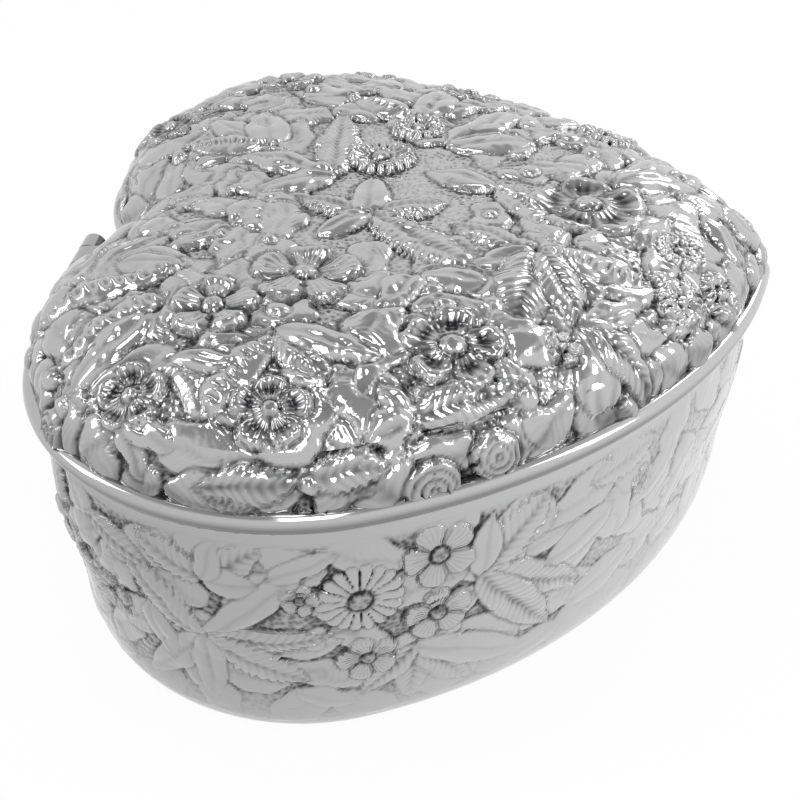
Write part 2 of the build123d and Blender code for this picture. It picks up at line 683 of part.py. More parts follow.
def screws(places, seat, length, name):
    """Make cheese-head screws that stand on a seat and run down through it, or up if negative."""
    with BuildPart() as group:
        with BuildSketch(Plane.XY.offset(seat)):
            with Locations(*places):
                Circle(SCREW_HEAD_RADIUS)
        extrude(amount=SCREW_HEAD if length > 0 else -SCREW_HEAD)
        with BuildSketch(Plane.XY.offset(seat)):
            with Locations(*places):
                Circle(SCREW_RADIUS)
        extrude(amount=-length)
    finish(group, name)


screws(MOVEMENT_SCREWS, RECESS_HEIGHT, -(FLOOR_THICKNESS + BED_THICKNESS), "movement_screws")
screws(COMB_SCREWS, BED_TOP + COMB_UNDER + COMB_THICKNESS, COMB_THICKNESS + COMB_BASE, "comb_screws")
screws(GOVERNOR_SCREWS, BED_TOP + FRAME_THICKNESS, FRAME_THICKNESS + BED_THICKNESS, "governor_screws")

# Comb: one plate, slotted into teeth that shorten towards the high notes, with weights on the low ones
with BuildPart() as comb:
    with BuildSketch(bed_level(COMB_UNDER)):
        with Locations(on_bed(COMB_CENTRE, COMB_BACK_Y + COMB_DEPTH / 2)):
            Rectangle(COMB_LENGTH, COMB_DEPTH)
        for gap in range(1, NOTES):
            length = LONG_TOOTH - (LONG_TOOTH - SHORT_TOOTH) * gap / NOTES
            x = CYLINDER_START + COMB_MARGIN + gap * TRACK
            with Locations(on_bed(x, COMB_TIP_Y - length / 2)):
                Rectangle(COMB_SLOT, length, mode=Mode.SUBTRACT)
        with Locations(*COMB_SCREWS):
            Circle(SCREW_RADIUS + RUNNING_FIT, mode=Mode.SUBTRACT)
    extrude(amount=COMB_THICKNESS)
    with BuildSketch(bed_level(COMB_UNDER)):
        for note in range(WEIGHTED_TEETH):
            x = CYLINDER_START + COMB_MARGIN + (note + 0.5) * TRACK
            with Locations(on_bed(x, COMB_TIP_Y - WEIGHT_SETBACK - WEIGHT_LENGTH / 2)):
                Rectangle(TRACK - 2 * COMB_SLOT, WEIGHT_LENGTH)
    extrude(amount=-WEIGHT_HEIGHT)
finish(comb, "comb")

# Cylinder with its pins, one track of them for each tooth of the comb
with BuildPart() as cylinder:
    with BuildSketch(square_to_shaft(CYLINDER_START)):
        with Locations(beside_shaft(0, AXIS_HEIGHT)):
            Circle(CYLINDER_RADIUS)
            Circle(CYLINDER_ARBOR_RADIUS + PRESS_FIT, mode=Mode.SUBTRACT)
    extrude(amount=CYLINDER_LENGTH)
    with BuildSketch(square_to_shaft(CYLINDER_START + CYLINDER_WALL)):
        with Locations(beside_shaft(0, AXIS_HEIGHT)):
            Circle(CYLINDER_RADIUS - CYLINDER_WALL)
            Circle(CYLINDER_ARBOR_RADIUS + CYLINDER_WALL, mode=Mode.SUBTRACT)
    extrude(amount=CYLINDER_LENGTH - 2 * CYLINDER_WALL, mode=Mode.SUBTRACT)
    for note in range(NOTES):
        x = CYLINDER_START + COMB_MARGIN + (note + 0.5) * TRACK
        shaft = Plane((BED_X + x, BED_Y, BED_TOP + AXIS_HEIGHT))
        for pin in range(PINS_PER_TRACK):
            angle = PIN_TURN * (note + pin * NOTES)
            with BuildSketch(shaft.rotated((angle, 0, 0)).offset(CYLINDER_RADIUS - CYLINDER_WALL / 2)):
                Circle(PIN_RADIUS)
    extrude(amount=PIN_HEIGHT + CYLINDER_WALL / 2)
finish(cylinder, "cylinder")

with BuildPart() as cylinder_arbor:
    with BuildSketch(square_to_shaft(PINION_START)):
        with Locations(beside_shaft(0, AXIS_HEIGHT)):
            Circle(CYLINDER_ARBOR_RADIUS)
    extrude(amount=RIGHT_POST_END - PINION_START)
finish(cylinder_arbor, "cylinder_arbor")

# Gears on the cylinder's shaft: the driven pinion under the crown wheel, and the governor's gear
with BuildPart() as cylinder_pinion:
    with BuildSketch(square_to_shaft(PINION_START)):
        with Locations(beside_shaft(0, AXIS_HEIGHT)):
            add(gear(PINION_TEETH, DRIVE_MODULE, 90 + 180 / PINION_TEETH))
            Circle(CYLINDER_ARBOR_RADIUS + PRESS_FIT, mode=Mode.SUBTRACT)
    extrude(amount=DRIVE_FACE)
finish(cylinder_pinion, "cylinder_pinion")

with BuildPart() as cylinder_gear:
    with BuildSketch(square_to_shaft(GEAR_START)):
        with Locations(beside_shaft(0, AXIS_HEIGHT)):
            add(gear(GOVERNOR_GEAR_TEETH, GOVERNOR_MODULE, 0))
            Circle(CYLINDER_ARBOR_RADIUS + PRESS_FIT, mode=Mode.SUBTRACT)
    extrude(amount=GOVERNOR_FACE)
finish(cylinder_gear, "cylinder_gear")

# Spring housing, its cover and the spring
with BuildPart() as spring_housing:
    with BuildSketch(bed_level(0)):
        with Locations(WINDING_PLACE):
            Circle(HOUSING_RADIUS)
    extrude(amount=HOUSING_HEIGHT - COVER_THICKNESS)
    with BuildSketch(bed_level(HOUSING_WALL)):
        with Locations(WINDING_PLACE):
            Circle(HOUSING_RADIUS - HOUSING_WALL)
    extrude(amount=HOUSING_HEIGHT, mode=Mode.SUBTRACT)
    with BuildSketch(bed_level(0)):
        with Locations(WINDING_PLACE):
            Circle(ARBOR_RADIUS + RUNNING_FIT)
    extrude(amount=HOUSING_WALL, mode=Mode.SUBTRACT)
finish(spring_housing, "spring_housing")

with BuildPart() as housing_cover:
    with BuildSketch(bed_level(HOUSING_HEIGHT - COVER_THICKNESS)):
        with Locations(WINDING_PLACE):
            Circle(HOUSING_RADIUS)
            Circle(ARBOR_RADIUS + RUNNING_FIT, mode=Mode.SUBTRACT)
    extrude(amount=COVER_THICKNESS)
finish(housing_cover, "housing_cover")

SPRING_OUTER = HOUSING_RADIUS - HOUSING_WALL - LINING_CLEARANCE - SPRING_PITCH / 4 - SPRING_THICKNESS / 2
SPRING_INNER = ARBOR_RADIUS + SPRING_PITCH
HALF_TURNS = int((SPRING_OUTER - SPRING_INNER) / (SPRING_PITCH / 2))
with BuildPart() as mainspring:
    with BuildSketch(bed_level(HOUSING_WALL)):
        with Locations(WINDING_PLACE):
            for half in range(HALF_TURNS):
                radius = SPRING_OUTER - half * SPRING_PITCH / 2
                shift = SPRING_PITCH / 2 * (half % 2) - SPRING_PITCH / 4
                with BuildSketch(mode=Mode.PRIVATE) as strip:
                    with Locations((shift, 0)):
                        Circle(radius + SPRING_THICKNESS / 2)
                        Circle(radius - SPRING_THICKNESS / 2, mode=Mode.SUBTRACT)
                    split(bisect_by=Plane.XZ, keep=Keep.TOP if half % 2 else Keep.BOTTOM)
                add(strip.sketch)
    extrude(amount=SPRING_WIDTH)
finish(mainspring, "mainspring")
print("mainspring least gap", SPRING_PITCH - SPRING_THICKNESS)

# Winding arbor, crown wheel, ratchet and click, which turn with the key
KEY_TOP = RECESS_HEIGHT - KEY_TOP_GAP
with BuildPart() as winding_arbor:
    with BuildSketch(Plane.XY.offset(KEY_LIFT + KEY_THICKNESS)):
        with Locations(WINDING_PLACE):
            Circle(ARBOR_RADIUS)
    extrude(amount=BED_TOP + RATCHET_TOP - KEY_LIFT - KEY_THICKNESS)
finish(winding_arbor, "winding_arbor")

tooth_pitch = 2 * pi * CROWN_RADIUS / CROWN_TEETH
with BuildPart(mode=Mode.PRIVATE) as crown_tooth:
    with BuildSketch(Plane.YZ.offset(CROWN_INNER)):
        with BuildLine():
            Polyline(
                (-ROOT_SHARE * tooth_pitch, CROWN_ROOT),
                (-TIP_SHARE * tooth_pitch, CROWN_TIP),
                (TIP_SHARE * tooth_pitch, CROWN_TIP),
                (ROOT_SHARE * tooth_pitch, CROWN_ROOT),
                close=True,
            )
        make_face()
    extrude(amount=DRIVE_FACE)
with BuildPart() as crown_wheel:
    with BuildSketch(bed_level(CROWN_ROOT)):
        with Locations(WINDING_PLACE):
            Circle(CROWN_OUTER)
            Circle(ARBOR_RADIUS + PRESS_FIT, mode=Mode.SUBTRACT)
    extrude(amount=CROWN_THICKNESS)
    with Locations((*WINDING_PLACE, BED_TOP)):
        with PolarLocations(0, CROWN_TEETH):
            add(crown_tooth.part)
finish(crown_wheel, "crown_wheel")

ratchet_step = 2 * pi / RATCHET_TEETH
ratchet_points = []
for tooth in range(RATCHET_TEETH):
    angle = tooth * ratchet_step
    for radius in (RATCHET_RADIUS - RATCHET_DEPTH, RATCHET_RADIUS):
        ratchet_points.append((radius * cos(angle), radius * sin(angle)))
with BuildPart() as ratchet_wheel:
    with BuildSketch(bed_level(CROWN_TOP)):
        with Locations(WINDING_PLACE):
            with BuildSketch(mode=Mode.PRIVATE) as ratchet_outline:
                with BuildLine():
                    Polyline(*ratchet_points, close=True)
                make_face()
            add(ratchet_outline.sketch)
            Circle(ARBOR_RADIUS + PRESS_FIT, mode=Mode.SUBTRACT)
    extrude(amount=RATCHET_THICKNESS)
finish(ratchet_wheel, "ratchet_wheel")

click_angle = CLICK_SHARE * ratchet_step
click_reach = RATCHET_RADIUS - RATCHET_DEPTH / 2
with BuildPart() as click_pawl:
    with BuildSketch(bed_level(CROWN_TOP)):
        with BuildSketch(mode=Mode.PRIVATE) as click_outline:
            with BuildLine():
                Polyline(
                    (CLICK_PIVOT - CLICK_RADIUS, 0),
                    (CLICK_PIVOT + CLICK_RADIUS, 0),
                    (click_reach * cos(click_angle), click_reach * sin(click_angle)),
                    close=True,
                )
            make_face()
            with Locations((CLICK_PIVOT, 0)):
                Circle(CLICK_RADIUS)
        with Locations(WINDING_PLACE):
            add(click_outline.sketch)
    extrude(amount=CLICK_THICKNESS)
finish(click_pawl, "click_pawl")

# Key: two pierced wings on a hub, screwed on the arbor's lower end
with BuildPart() as winding_key:
    with BuildSketch(Plane.XZ.offset(-WINDING_PLACE[1] - KEY_THICKNESS / 2)):
        with Locations((WINDING_PLACE[0], KEY_LIFT + KEY_WING_RADIUS)):
            Rectangle(KEY_SPAN - KEY_WING_RADIUS, KEY_WING_RADIUS)
            with GridLocations(KEY_SPAN - 2 * KEY_WING_RADIUS, 0, 2, 1):
                Circle(KEY_WING_RADIUS)
                Circle(KEY_WING_HOLE, mode=Mode.SUBTRACT)
    extrude(amount=KEY_THICKNESS)
    with BuildSketch(Plane.XY.offset(KEY_LIFT + KEY_WING_RADIUS / 2)):
        with Locations(WINDING_PLACE):
            Circle(KEY_HUB_RADIUS)
    extrude(amount=KEY_TOP - KEY_LIFT - KEY_WING_RADIUS / 2)
    with BuildSketch(Plane.XY.offset(KEY_LIFT + KEY_THICKNESS)):
        with Locations(WINDING_PLACE):
            Circle(ARBOR_RADIUS + PRESS_FIT)
    extrude(amount=KEY_TOP, mode=Mode.SUBTRACT)
finish(winding_key, "winding_key")

# Governor frame: two cheeks, a foot under the fly and a bridge over it
with BuildPart() as governor_frame:
    with BuildSketch(bed_level(0)):
        with Locations(on_bed(WORM_WHEEL_X, (FRAME_FRONT + FRAME_BACK) / 2)):
            Rectangle(FRAME_SPAN, FRAME_BACK - FRAME_FRONT)
        with Locations(on_bed(WORM_WHEEL_X, GOVERNOR_Y)):
            SlotOverall(FRAME_SPAN + 4 * FRAME_EAR, FRAME_DEPTH)
        with Locations(*GOVERNOR_SCREWS):
            Circle(SCREW_RADIUS + RUNNING_FIT, mode=Mode.SUBTRACT)
    extrude(amount=FRAME_THICKNESS)
    for start in (FRAME_START, FRAME_END - FRAME_THICKNESS):
        with BuildSketch(square_to_shaft(start)):
            with Locations(beside_shaft(GOVERNOR_Y, FRAME_HEIGHT / 2)):
                Rectangle(FRAME_DEPTH, FRAME_HEIGHT)
            with Locations(beside_shaft(GOVERNOR_Y, AXIS_HEIGHT)):
                Circle(GOVERNOR_ARBOR_RADIUS + RUNNING_FIT, mode=Mode.SUBTRACT)
        extrude(amount=FRAME_THICKNESS)
    with BuildSketch(bed_level(FRAME_HEIGHT - FRAME_THICKNESS)):
        with Locations(on_bed(WORM_WHEEL_X, (FRAME_FRONT + FRAME_BACK) / 2)):
            Rectangle(FRAME_SPAN, FRAME_BACK - FRAME_FRONT)
    extrude(amount=FRAME_THICKNESS)
    with BuildSketch(bed_level(0)):
        with Locations(on_bed(WORM_WHEEL_X, WORM_Y)):
            Circle(FLY_PIVOT_RADIUS + RUNNING_FIT)
    extrude(amount=FRAME_HEIGHT, mode=Mode.SUBTRACT)
finish(governor_frame, "governor_frame")

# Governor arbor with its pinion, and the worm wheel on it
with BuildPart() as governor_arbor:
    with BuildSketch(square_to_shaft(FRAME_START)):
        with Locations(beside_shaft(GOVERNOR_Y, AXIS_HEIGHT)):
            Circle(GOVERNOR_ARBOR_RADIUS)
    extrude(amount=GEAR_END - FRAME_START)
    with BuildSketch(square_to_shaft(GEAR_START)):
        with Locations(beside_shaft(GOVERNOR_Y, AXIS_HEIGHT)):
            add(gear(GOVERNOR_PINION_TEETH, GOVERNOR_MODULE, 180 + 180 / GOVERNOR_PINION_TEETH))
    extrude(amount=GOVERNOR_FACE)
finish(governor_arbor, "governor_arbor")

with BuildPart() as worm_wheel:
    with BuildSketch(square_to_shaft(WORM_WHEEL_X - GOVERNOR_FACE / 2)):
        with Locations(beside_shaft(GOVERNOR_Y, AXIS_HEIGHT)):
            add(gear(WORM_WHEEL_TEETH, WORM_MODULE, 0))
            Circle(GOVERNOR_ARBOR_RADIUS + PRESS_FIT, mode=Mode.SUBTRACT)
    extrude(amount=GOVERNOR_FACE)
finish(worm_wheel, "worm_wheel")

# Fly shaft with its worm: at the wheel's side the thread stands half a pitch off the wheel's tooth
WORM_CENTRE = (BED_X + WORM_WHEEL_X, BED_Y + WORM_Y)
WORM_START = BED_TOP + AXIS_HEIGHT - (WORM_TURNS / 2 + 0.25) * WORM_PITCH
with BuildPart() as fly_shaft:
    with BuildSketch(bed_level(PRESS_FIT)):
        with Locations(WORM_CENTRE):
            Circle(FLY_PIVOT_RADIUS)
    extrude(amount=FRAME_HEIGHT - PRESS_FIT)
    with BuildSketch(Plane.XY.offset(WORM_START - WORM_PITCH / 4)):
        with Locations(WORM_CENTRE):
            Circle(WORM_ROOT)
    extrude(amount=(WORM_TURNS + 0.5) * WORM_PITCH)
    with BuildLine() as thread_line:
        Helix(WORM_PITCH, WORM_TURNS * WORM_PITCH, WORM_RADIUS, center=(*WORM_CENTRE, WORM_START))
    thread_plane = Plane(thread_line.line @ 0, x_dir=(1, 0, 0), z_dir=thread_line.line % 0)
    with BuildSketch(thread_plane):
        with BuildLine():
            Polyline(
                (WORM_ROOT - WORM_RADIUS - WORM_ROOT / 2, -ROOT_SHARE * WORM_PITCH),
                (WORM_OUTER - WORM_RADIUS, -TIP_SHARE * WORM_PITCH),
                (WORM_OUTER - WORM_RADIUS, TIP_SHARE * WORM_PITCH),
                (WORM_ROOT - WORM_RADIUS - WORM_ROOT / 2, ROOT_SHARE * WORM_PITCH),
                close=True,
            )
        make_face()
    sweep(path=thread_line.line, is_frenet=True)
finish(fly_shaft, "fly_shaft")

with BuildPart() as fly_vanes:
    with BuildSketch(bed_level(FLY_START)):
        with Locations(WORM_CENTRE):
            SlotOverall(2 * FLY_RADIUS, FLY_THICKNESS)
            Circle(FLY_PIVOT_RADIUS + FLY_THICKNESS)
            Circle(FLY_PIVOT_RADIUS + PRESS_FIT, mode=Mode.SUBTRACT)
    extrude(amount=FLY_HEIGHT)
finish(fly_vanes, "fly_vanes")

# Stop wire: from a finger over the fly, back to the cleft, then up through the tray to the lid's lining
FINGER = (WORM_CENTRE[0], WORM_CENTRE[1] + WORM_OUTER + WIRE_GAP + WIRE_RADIUS, BED_TOP + FINGER_Z)
WIRE_TOP = LID_LINING_FOOT - WIRE_GAP
WIRE_ROUTE = [
    FINGER,
    (0, WIRE_Y, BED_TOP + FINGER_Z),
    (0, WIRE_Y, TRAY_UNDER),
    (0, WIRE_TOP_Y, (TRAY_UNDER + WIRE_TOP) / 2),
    (0, WIRE_TOP_Y, WIRE_TOP),
]
with BuildPart() as stop_wire:
    with BuildLine() as wire_line:
        FilletPolyline(*WIRE_ROUTE, radius=WIRE_BEND)
    with BuildSketch(Plane(wire_line.line @ 0, z_dir=wire_line.line % 0)):
        Circle(WIRE_RADIUS)
    sweep(path=wire_line.line)
finish(stop_wire, "stop_wire")
wire_volume = pi * WIRE_RADIUS**2 * wire_line.wires()[0].length
print("stop wire volume over section times length", stop_wire.part.volume / wire_volume)

# Guide for the stop wire: a foot on the floor, an upright and an eye round the wire
with BuildPart() as stop_guide:
    with BuildSketch(Plane.XZ.offset(-WIRE_Y - WIRE_SLOT)):
        with BuildLine():
            Polyline(
                (-GUIDE_REACH - GUIDE_FOOT, FLOOR_TOP),
                (-GUIDE_REACH, FLOOR_TOP),
                (-GUIDE_REACH, FLOOR_TOP + GUIDE_HEIGHT - GUIDE_THICKNESS),
                (GUIDE_EYE, FLOOR_TOP + GUIDE_HEIGHT - GUIDE_THICKNESS),
                (GUIDE_EYE, FLOOR_TOP + GUIDE_HEIGHT),
                (-GUIDE_REACH - GUIDE_THICKNESS, FLOOR_TOP + GUIDE_HEIGHT),
                (-GUIDE_REACH - GUIDE_THICKNESS, FLOOR_TOP + GUIDE_THICKNESS),
                (-GUIDE_REACH - GUIDE_FOOT, FLOOR_TOP + GUIDE_THICKNESS),
                close=True,
            )
        make_face()
    extrude(amount=GUIDE_DEPTH)
    with BuildSketch(Plane.XY.offset(FLOOR_TOP)):
        with Locations((0, WIRE_Y)):
            Circle(WIRE_RADIUS + RUNNING_FIT)
    extrude(amount=GUIDE_HEIGHT, mode=Mode.SUBTRACT)
finish(stop_guide, "stop_guide")
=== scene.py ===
"""Dresses the heart-shaped wind-up music box and sets it before the camera."""

import json
import logging
import math
from dataclasses import dataclass
from enum import Enum
from typing import Callable, Sequence

import bpy
import numpy as np
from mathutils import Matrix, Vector
from mathutils.bvhtree import BVHTree
from mathutils.geometry import delaunay_2d_cdt


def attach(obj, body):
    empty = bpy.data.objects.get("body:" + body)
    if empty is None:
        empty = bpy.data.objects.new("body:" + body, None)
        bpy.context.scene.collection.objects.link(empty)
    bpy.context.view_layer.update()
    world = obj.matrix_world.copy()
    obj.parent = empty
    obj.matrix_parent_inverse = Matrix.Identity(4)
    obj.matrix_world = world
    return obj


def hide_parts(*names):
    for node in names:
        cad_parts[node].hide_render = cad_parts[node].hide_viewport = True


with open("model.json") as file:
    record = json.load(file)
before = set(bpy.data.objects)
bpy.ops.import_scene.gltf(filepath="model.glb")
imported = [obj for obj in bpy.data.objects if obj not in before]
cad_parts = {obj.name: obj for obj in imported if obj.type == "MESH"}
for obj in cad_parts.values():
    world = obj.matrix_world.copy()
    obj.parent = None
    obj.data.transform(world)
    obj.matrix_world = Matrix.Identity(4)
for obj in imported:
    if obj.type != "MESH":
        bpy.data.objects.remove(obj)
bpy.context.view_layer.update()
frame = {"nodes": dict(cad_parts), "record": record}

logging.basicConfig(level=logging.INFO, format="%(message)s")
LOG = logging.getLogger("music_box")

MM = 0.001
SEED = 1845
FULL_TURN = 2.0 * math.pi

# Heights of the case that the finishes and nets need, in metres.
RIM_TOP_Z = 37.25 * MM
# Between the bead's foot and top heights, the painted shade on its underside fades out.
BEAD_FOOT_Z = 36.5 * MM
BEAD_TOP_Z = 37.55 * MM
PLAIN_BAND_Z = 33.2 * MM

# How far towards the heart's tip, against Y, the plate is darkest and most lit by its painted light, in
# metres.
LOBE_END_Y = -35.0 * MM
TIP_END_Y = 40.0 * MM

# The chased sheet stands a foil's thickness off its shell, with its underside sunk into it,
# in millimetres.
FOIL = 0.05
SUNK = 0.3

# Half the side of a square that the case fits in, in millimetres.
CASE_HALF = 56.0

# A net over the dome: its rows lie this far apart for each step, and start this far inside its
# edge. Points in plan are one within the last, in millimetres.
ROW_RATIO = 0.866
FENCE_GAP = 0.4
FLAT_WELD = 1e-6

# How dark the painted shade in the line cut round a motif is on the lid.
FULL_LINE = 0.4

# The least distance between two corners of a shell, in metres, and the least length of a vector.
WELD = 1e-7
TINY = 1e-20

# The inputs and the output of a Mix node that carry colours.
MIX_FACTOR = 0
MIX_FIRST = 6
MIX_SECOND = 7
MIX_RESULT = 2

Array = np.ndarray
Colour = tuple[float, float, float]


def smooth_step(low: float, high: float, value: Array) -> Array:
    """An S-shaped rise from 0 at low to 1 at high."""
    t = np.clip((value - low) / (high - low), 0.0, 1.0)
    return t * t * (3.0 - 2.0 * t)


def bell(value: Array, middle: float, reach: float) -> Array:
    """A bell of height 1 about its middle."""
    return np.exp(-(((value - middle) / reach) ** 2))


def unit_rows(vectors: Array) -> Array:
    """The vectors, one to a row, each brought to length 1."""
    return vectors / np.maximum(np.linalg.norm(vectors, axis=1), TINY)[:, None]


def clear_selection() -> None:
    """Leaves object mode with nothing selected."""
    if bpy.context.object is not None and bpy.context.object.mode != "OBJECT":
        bpy.ops.object.mode_set(mode="OBJECT")
    bpy.ops.object.select_all(action="DESELECT")


def make_active(obj: bpy.types.Object) -> None:
    """Selects one object alone."""
    clear_selection()
    obj.select_set(True)
    bpy.context.view_layer.objects.active = obj


class Socket:
    """One output of a shader node, with arithmetic written as operators."""

    def __init__(self, nodes: "Nodes", output: bpy.types.NodeSocket) -> None:
        """Keeps the output and the nodes that it is among."""
        self.nodes = nodes
        self.output = output

    def maths(self, operation: str, first: "Socket | float", second: "Socket | float" = 0.0) -> "Socket":
        """Adds one maths node between two operands."""
        return self.nodes.node("ShaderNodeMath", 0, {"operation": operation}, {0: first, 1: second})

    def __add__(self, other: "Socket | float") -> "Socket":
        """This value and another added."""
        return self.maths("ADD", self, other)

    def __radd__(self, other: float) -> "Socket":
        """A number and this value added."""
        return self.maths("ADD", other, self)

    def __sub__(self, other: "Socket | float") -> "Socket":
        """Another value taken from this one."""
        return self.maths("SUBTRACT", self, other)

    def __rsub__(self, other: float) -> "Socket":
        """This value taken from a number."""
        return self.maths("SUBTRACT", other, self)

    def __mul__(self, other: "Socket | float") -> "Socket":
        """This value times another."""
        return self.maths("MULTIPLY", self, other)

    def __rmul__(self, other: float) -> "Socket":
        """A number times this value."""
        return self.maths("MULTIPLY", other, self)

    def sine(self) -> "Socket":
        """The sine of the value."""
        return self.maths("SINE", self)

    def most(self, other: "Socket | float") -> "Socket":
        """The greater of the two values."""
        return self.maths("MAXIMUM", self, other)

    def part(self, axis: str) -> "Socket":
        """One coordinate of a vector socket, X, Y or Z."""
        return self.nodes.node("ShaderNodeSeparateXYZ", axis, None, {0: self})

    def ramp(self, low: float, high: float) -> "Socket":
        """A smooth rise from 0 at low to 1 at high."""
        ends = {"Value": self, "From Min": low, "From Max": high}
        return self.nodes.node("ShaderNodeMapRange", "Result", {"interpolation_type": "SMOOTHSTEP"}, ends)


class Nodes:
    """The nodes of a material or of the world, and the one way that they are added."""

    def __init__(self, tree: bpy.types.NodeTree) -> None:
        """Takes over a node tree."""
        self.tree = tree

    def give(self, socket: bpy.types.NodeSocket, value: object) -> None:
        """Links an input to a Socket, or sets it to a plain value."""
        if isinstance(value, Socket):
            self.tree.links.new(value.output, socket)
        else:
            socket.default_value = value

    def node(
        self,
        kind: str,
        output: str | int,
        settings: dict[str, object] | None = None,
        inputs: dict[str | int, object] | None = None,
    ) -> Socket:
        """Adds a node and returns one of its outputs.

        Args:
            kind: the node's type.
            output: the name or number of the output wanted.
            settings: properties of the node itself, which are set first.
            inputs: a Socket or a plain value for each input, by name or number.

        Returns:
            The output, ready for arithmetic.
        """
        node = self.tree.nodes.new(kind)
        for key, value in (settings or {}).items():
            setattr(node, key, value)
        for key, value in (inputs or {}).items():
            self.give(node.inputs[key], value)
        return Socket(self, node.outputs[output])


class Shader(Nodes):
    """A material's nodes round its principled shader."""

    def __init__(self, name: str) -> None:
        """Makes the material."""
        self.material = bpy.data.materials.new(name)
        self.material.use_nodes = True
        super().__init__(self.material.node_tree)
        self.surface = self.tree.nodes["Principled BSDF"]

    def place(self) -> Socket:
        """The object coordinates, in metres."""
        return self.node("ShaderNodeTexCoord", "Object")

    def noise(self, scale: float, detail: float) -> Socket:
        """A soft noise in object coordinates, scale in cells to the metre."""
        inputs = {"Vector": self.place(), "Scale": scale, "Detail": detail}
        return self.node("ShaderNodeTexNoise", "Fac", None, inputs)

    def cells(self, scale: float) -> Socket:
        """Distance to the nearest of a scatter of points, scale in cells to the metre."""
        inputs = {"Vector": self.place(), "Scale": scale}
        return self.node("ShaderNodeTexVoronoi", "Distance", {"feature": "F1"}, inputs)

    def attribute(self, name: str) -> Socket:
        """A value stored on the mesh's points."""
        return self.node("ShaderNodeAttribute", "Fac", {"attribute_name": name})

    def blend(self, factor: Socket, first: Socket | Colour, second: Socket | Colour) -> Socket:
        """A colour that runs from first to second as factor runs from 0 to 1."""
        ends = [colour if isinstance(colour, Socket) else (*colour, 1.0) for colour in (first, second)]
        inputs = {MIX_FACTOR: factor, MIX_FIRST: ends[0], MIX_SECOND: ends[1]}
        return self.node("ShaderNodeMix", MIX_RESULT, {"data_type": "RGBA"}, inputs)

    def feed(self, name: str, value: Socket | float | Sequence[float]) -> None:
        """Gives one input of the principled shader a socket or a constant."""
        self.give(self.surface.inputs[name], value)

    def bump(self, height: Socket, depth: float, strength: float) -> None:
        """Roughens the surface by a height field of that depth in metres."""
        inputs = {"Height": height, "Distance": depth, "Strength": strength}
        self.feed("Normal", self.node("ShaderNodeBump", "Normal", None, inputs))


class Ground(Enum):
    """What a silver surface carries: nothing, the stippled ground of the chasing with painted shade in its
    low work, or painted shade on its underside.
    """

    NONE = 0
    RELIEF = 1
    ROLL = 2


@dataclass(frozen=True)
class SilverFinish:
    """Polished silver plate, bright on the high work, with painted shade in the low work and painted light
    towards the heart's tip.
    """

    name: str
    ground: Ground
    # The plate's colour at the lobes, then the lighter colour of its painted light at the heart's tip.
    bright: Colour = (0.385, 0.385, 0.387)
    lit_tip_silver: Colour = (0.57, 0.57, 0.572)
    dark: Colour = (0.03, 0.03, 0.032)
    roughness: float = 0.1
    wear: float = 0.08
    wear_scale: float = 260.0
    polish_scale: float = 150.0
    polish_depth: float = 0.00002
    polish_strength: float = 0.4
    # How dark the painted shade on a roll's underside is.
    roll_painted_shade: float = 0.6
    stipple_scale: float = 1500.0
    stipple_dark: float = 0.7
    stipple_depth: float = 1.3
    vein_dark: float = 0.3
    vein_depth: float = 0.8
    full_dark: float = 1.1
    swell: float = 1.3
    swell_scale: float = 330.0
    pitting: float = 0.25
    pit_scale: float = 1900.0
    bump_depth: float = 0.0001
    bump_strength: float = 0.8
    # How much painted shade lies over the whole stippled ground.
    ground_painted_shade: float = 0.15

    def build(self) -> bpy.types.Material:
        """Makes the material."""
        shader = Shader(self.name)
        shader.feed("Metallic", 1.0)
        worn = shader.noise(self.wear_scale, 4.0)
        shader.feed("Roughness", self.roughness + self.wear * (worn - 0.5))
        # Painted light: the silver is painted lighter towards the heart's tip.
        painted_light_to_tip = (shader.place().part("Y") * -1.0).ramp(LOBE_END_Y, TIP_END_Y)
        silver = shader.blend(painted_light_to_tip, self.bright, self.lit_tip_silver)
        if self.ground is Ground.RELIEF:
            self.chase(shader, silver)
            return shader.material
        if self.ground is Ground.ROLL:
            # Painted shade on the underside of the roll: full below the bead's foot height and gone at its
            # top.
            risen = shader.place().part("Z").ramp(BEAD_FOOT_Z, BEAD_TOP_Z)
            silver = shader.blend(self.roll_painted_shade - self.roll_painted_shade * risen, silver, self.dark)
        shader.feed("Base Color", silver)
        shader.bump(shader.noise(self.polish_scale, 1.0), self.polish_depth, self.polish_strength)
        return shader.material

    def chase(self, shader: Shader, silver: Socket) -> None:
        """Paints shade on the low work, in the cut veins and on the stippled ground, and bumps the veins
        and the stipple.

        Args:
            shader: the material's nodes.
            silver: the colour of the plate where no painted shade falls.
        """
        ground = shader.attribute("ground")
        stipple = shader.cells(self.stipple_scale)
        wave = (FULL_TURN * shader.attribute("vein")).sine()
        cut = shader.attribute("veined") * (0.5 - 0.5 * wave)
        # Painted shade: in the stipple's pits and over the whole ground, on the low work and in the veins'
        # troughs.
        grain = ground * (self.ground_painted_shade + self.stipple_dark * (0.5 - stipple))
        shade = shader.attribute("low") + grain.most(0.0) + self.vein_dark * cut
        shader.feed("Base Color", shader.blend(shade.ramp(0.0, self.full_dark), silver, self.dark))
        swells = self.swell * shader.noise(self.swell_scale, 3.0)
        rough = swells + self.pitting * shader.noise(self.pit_scale, 2.0)
        height = rough + self.stipple_depth * ground * stipple - self.vein_depth * cut
        shader.bump(height, self.bump_depth, self.bump_strength)


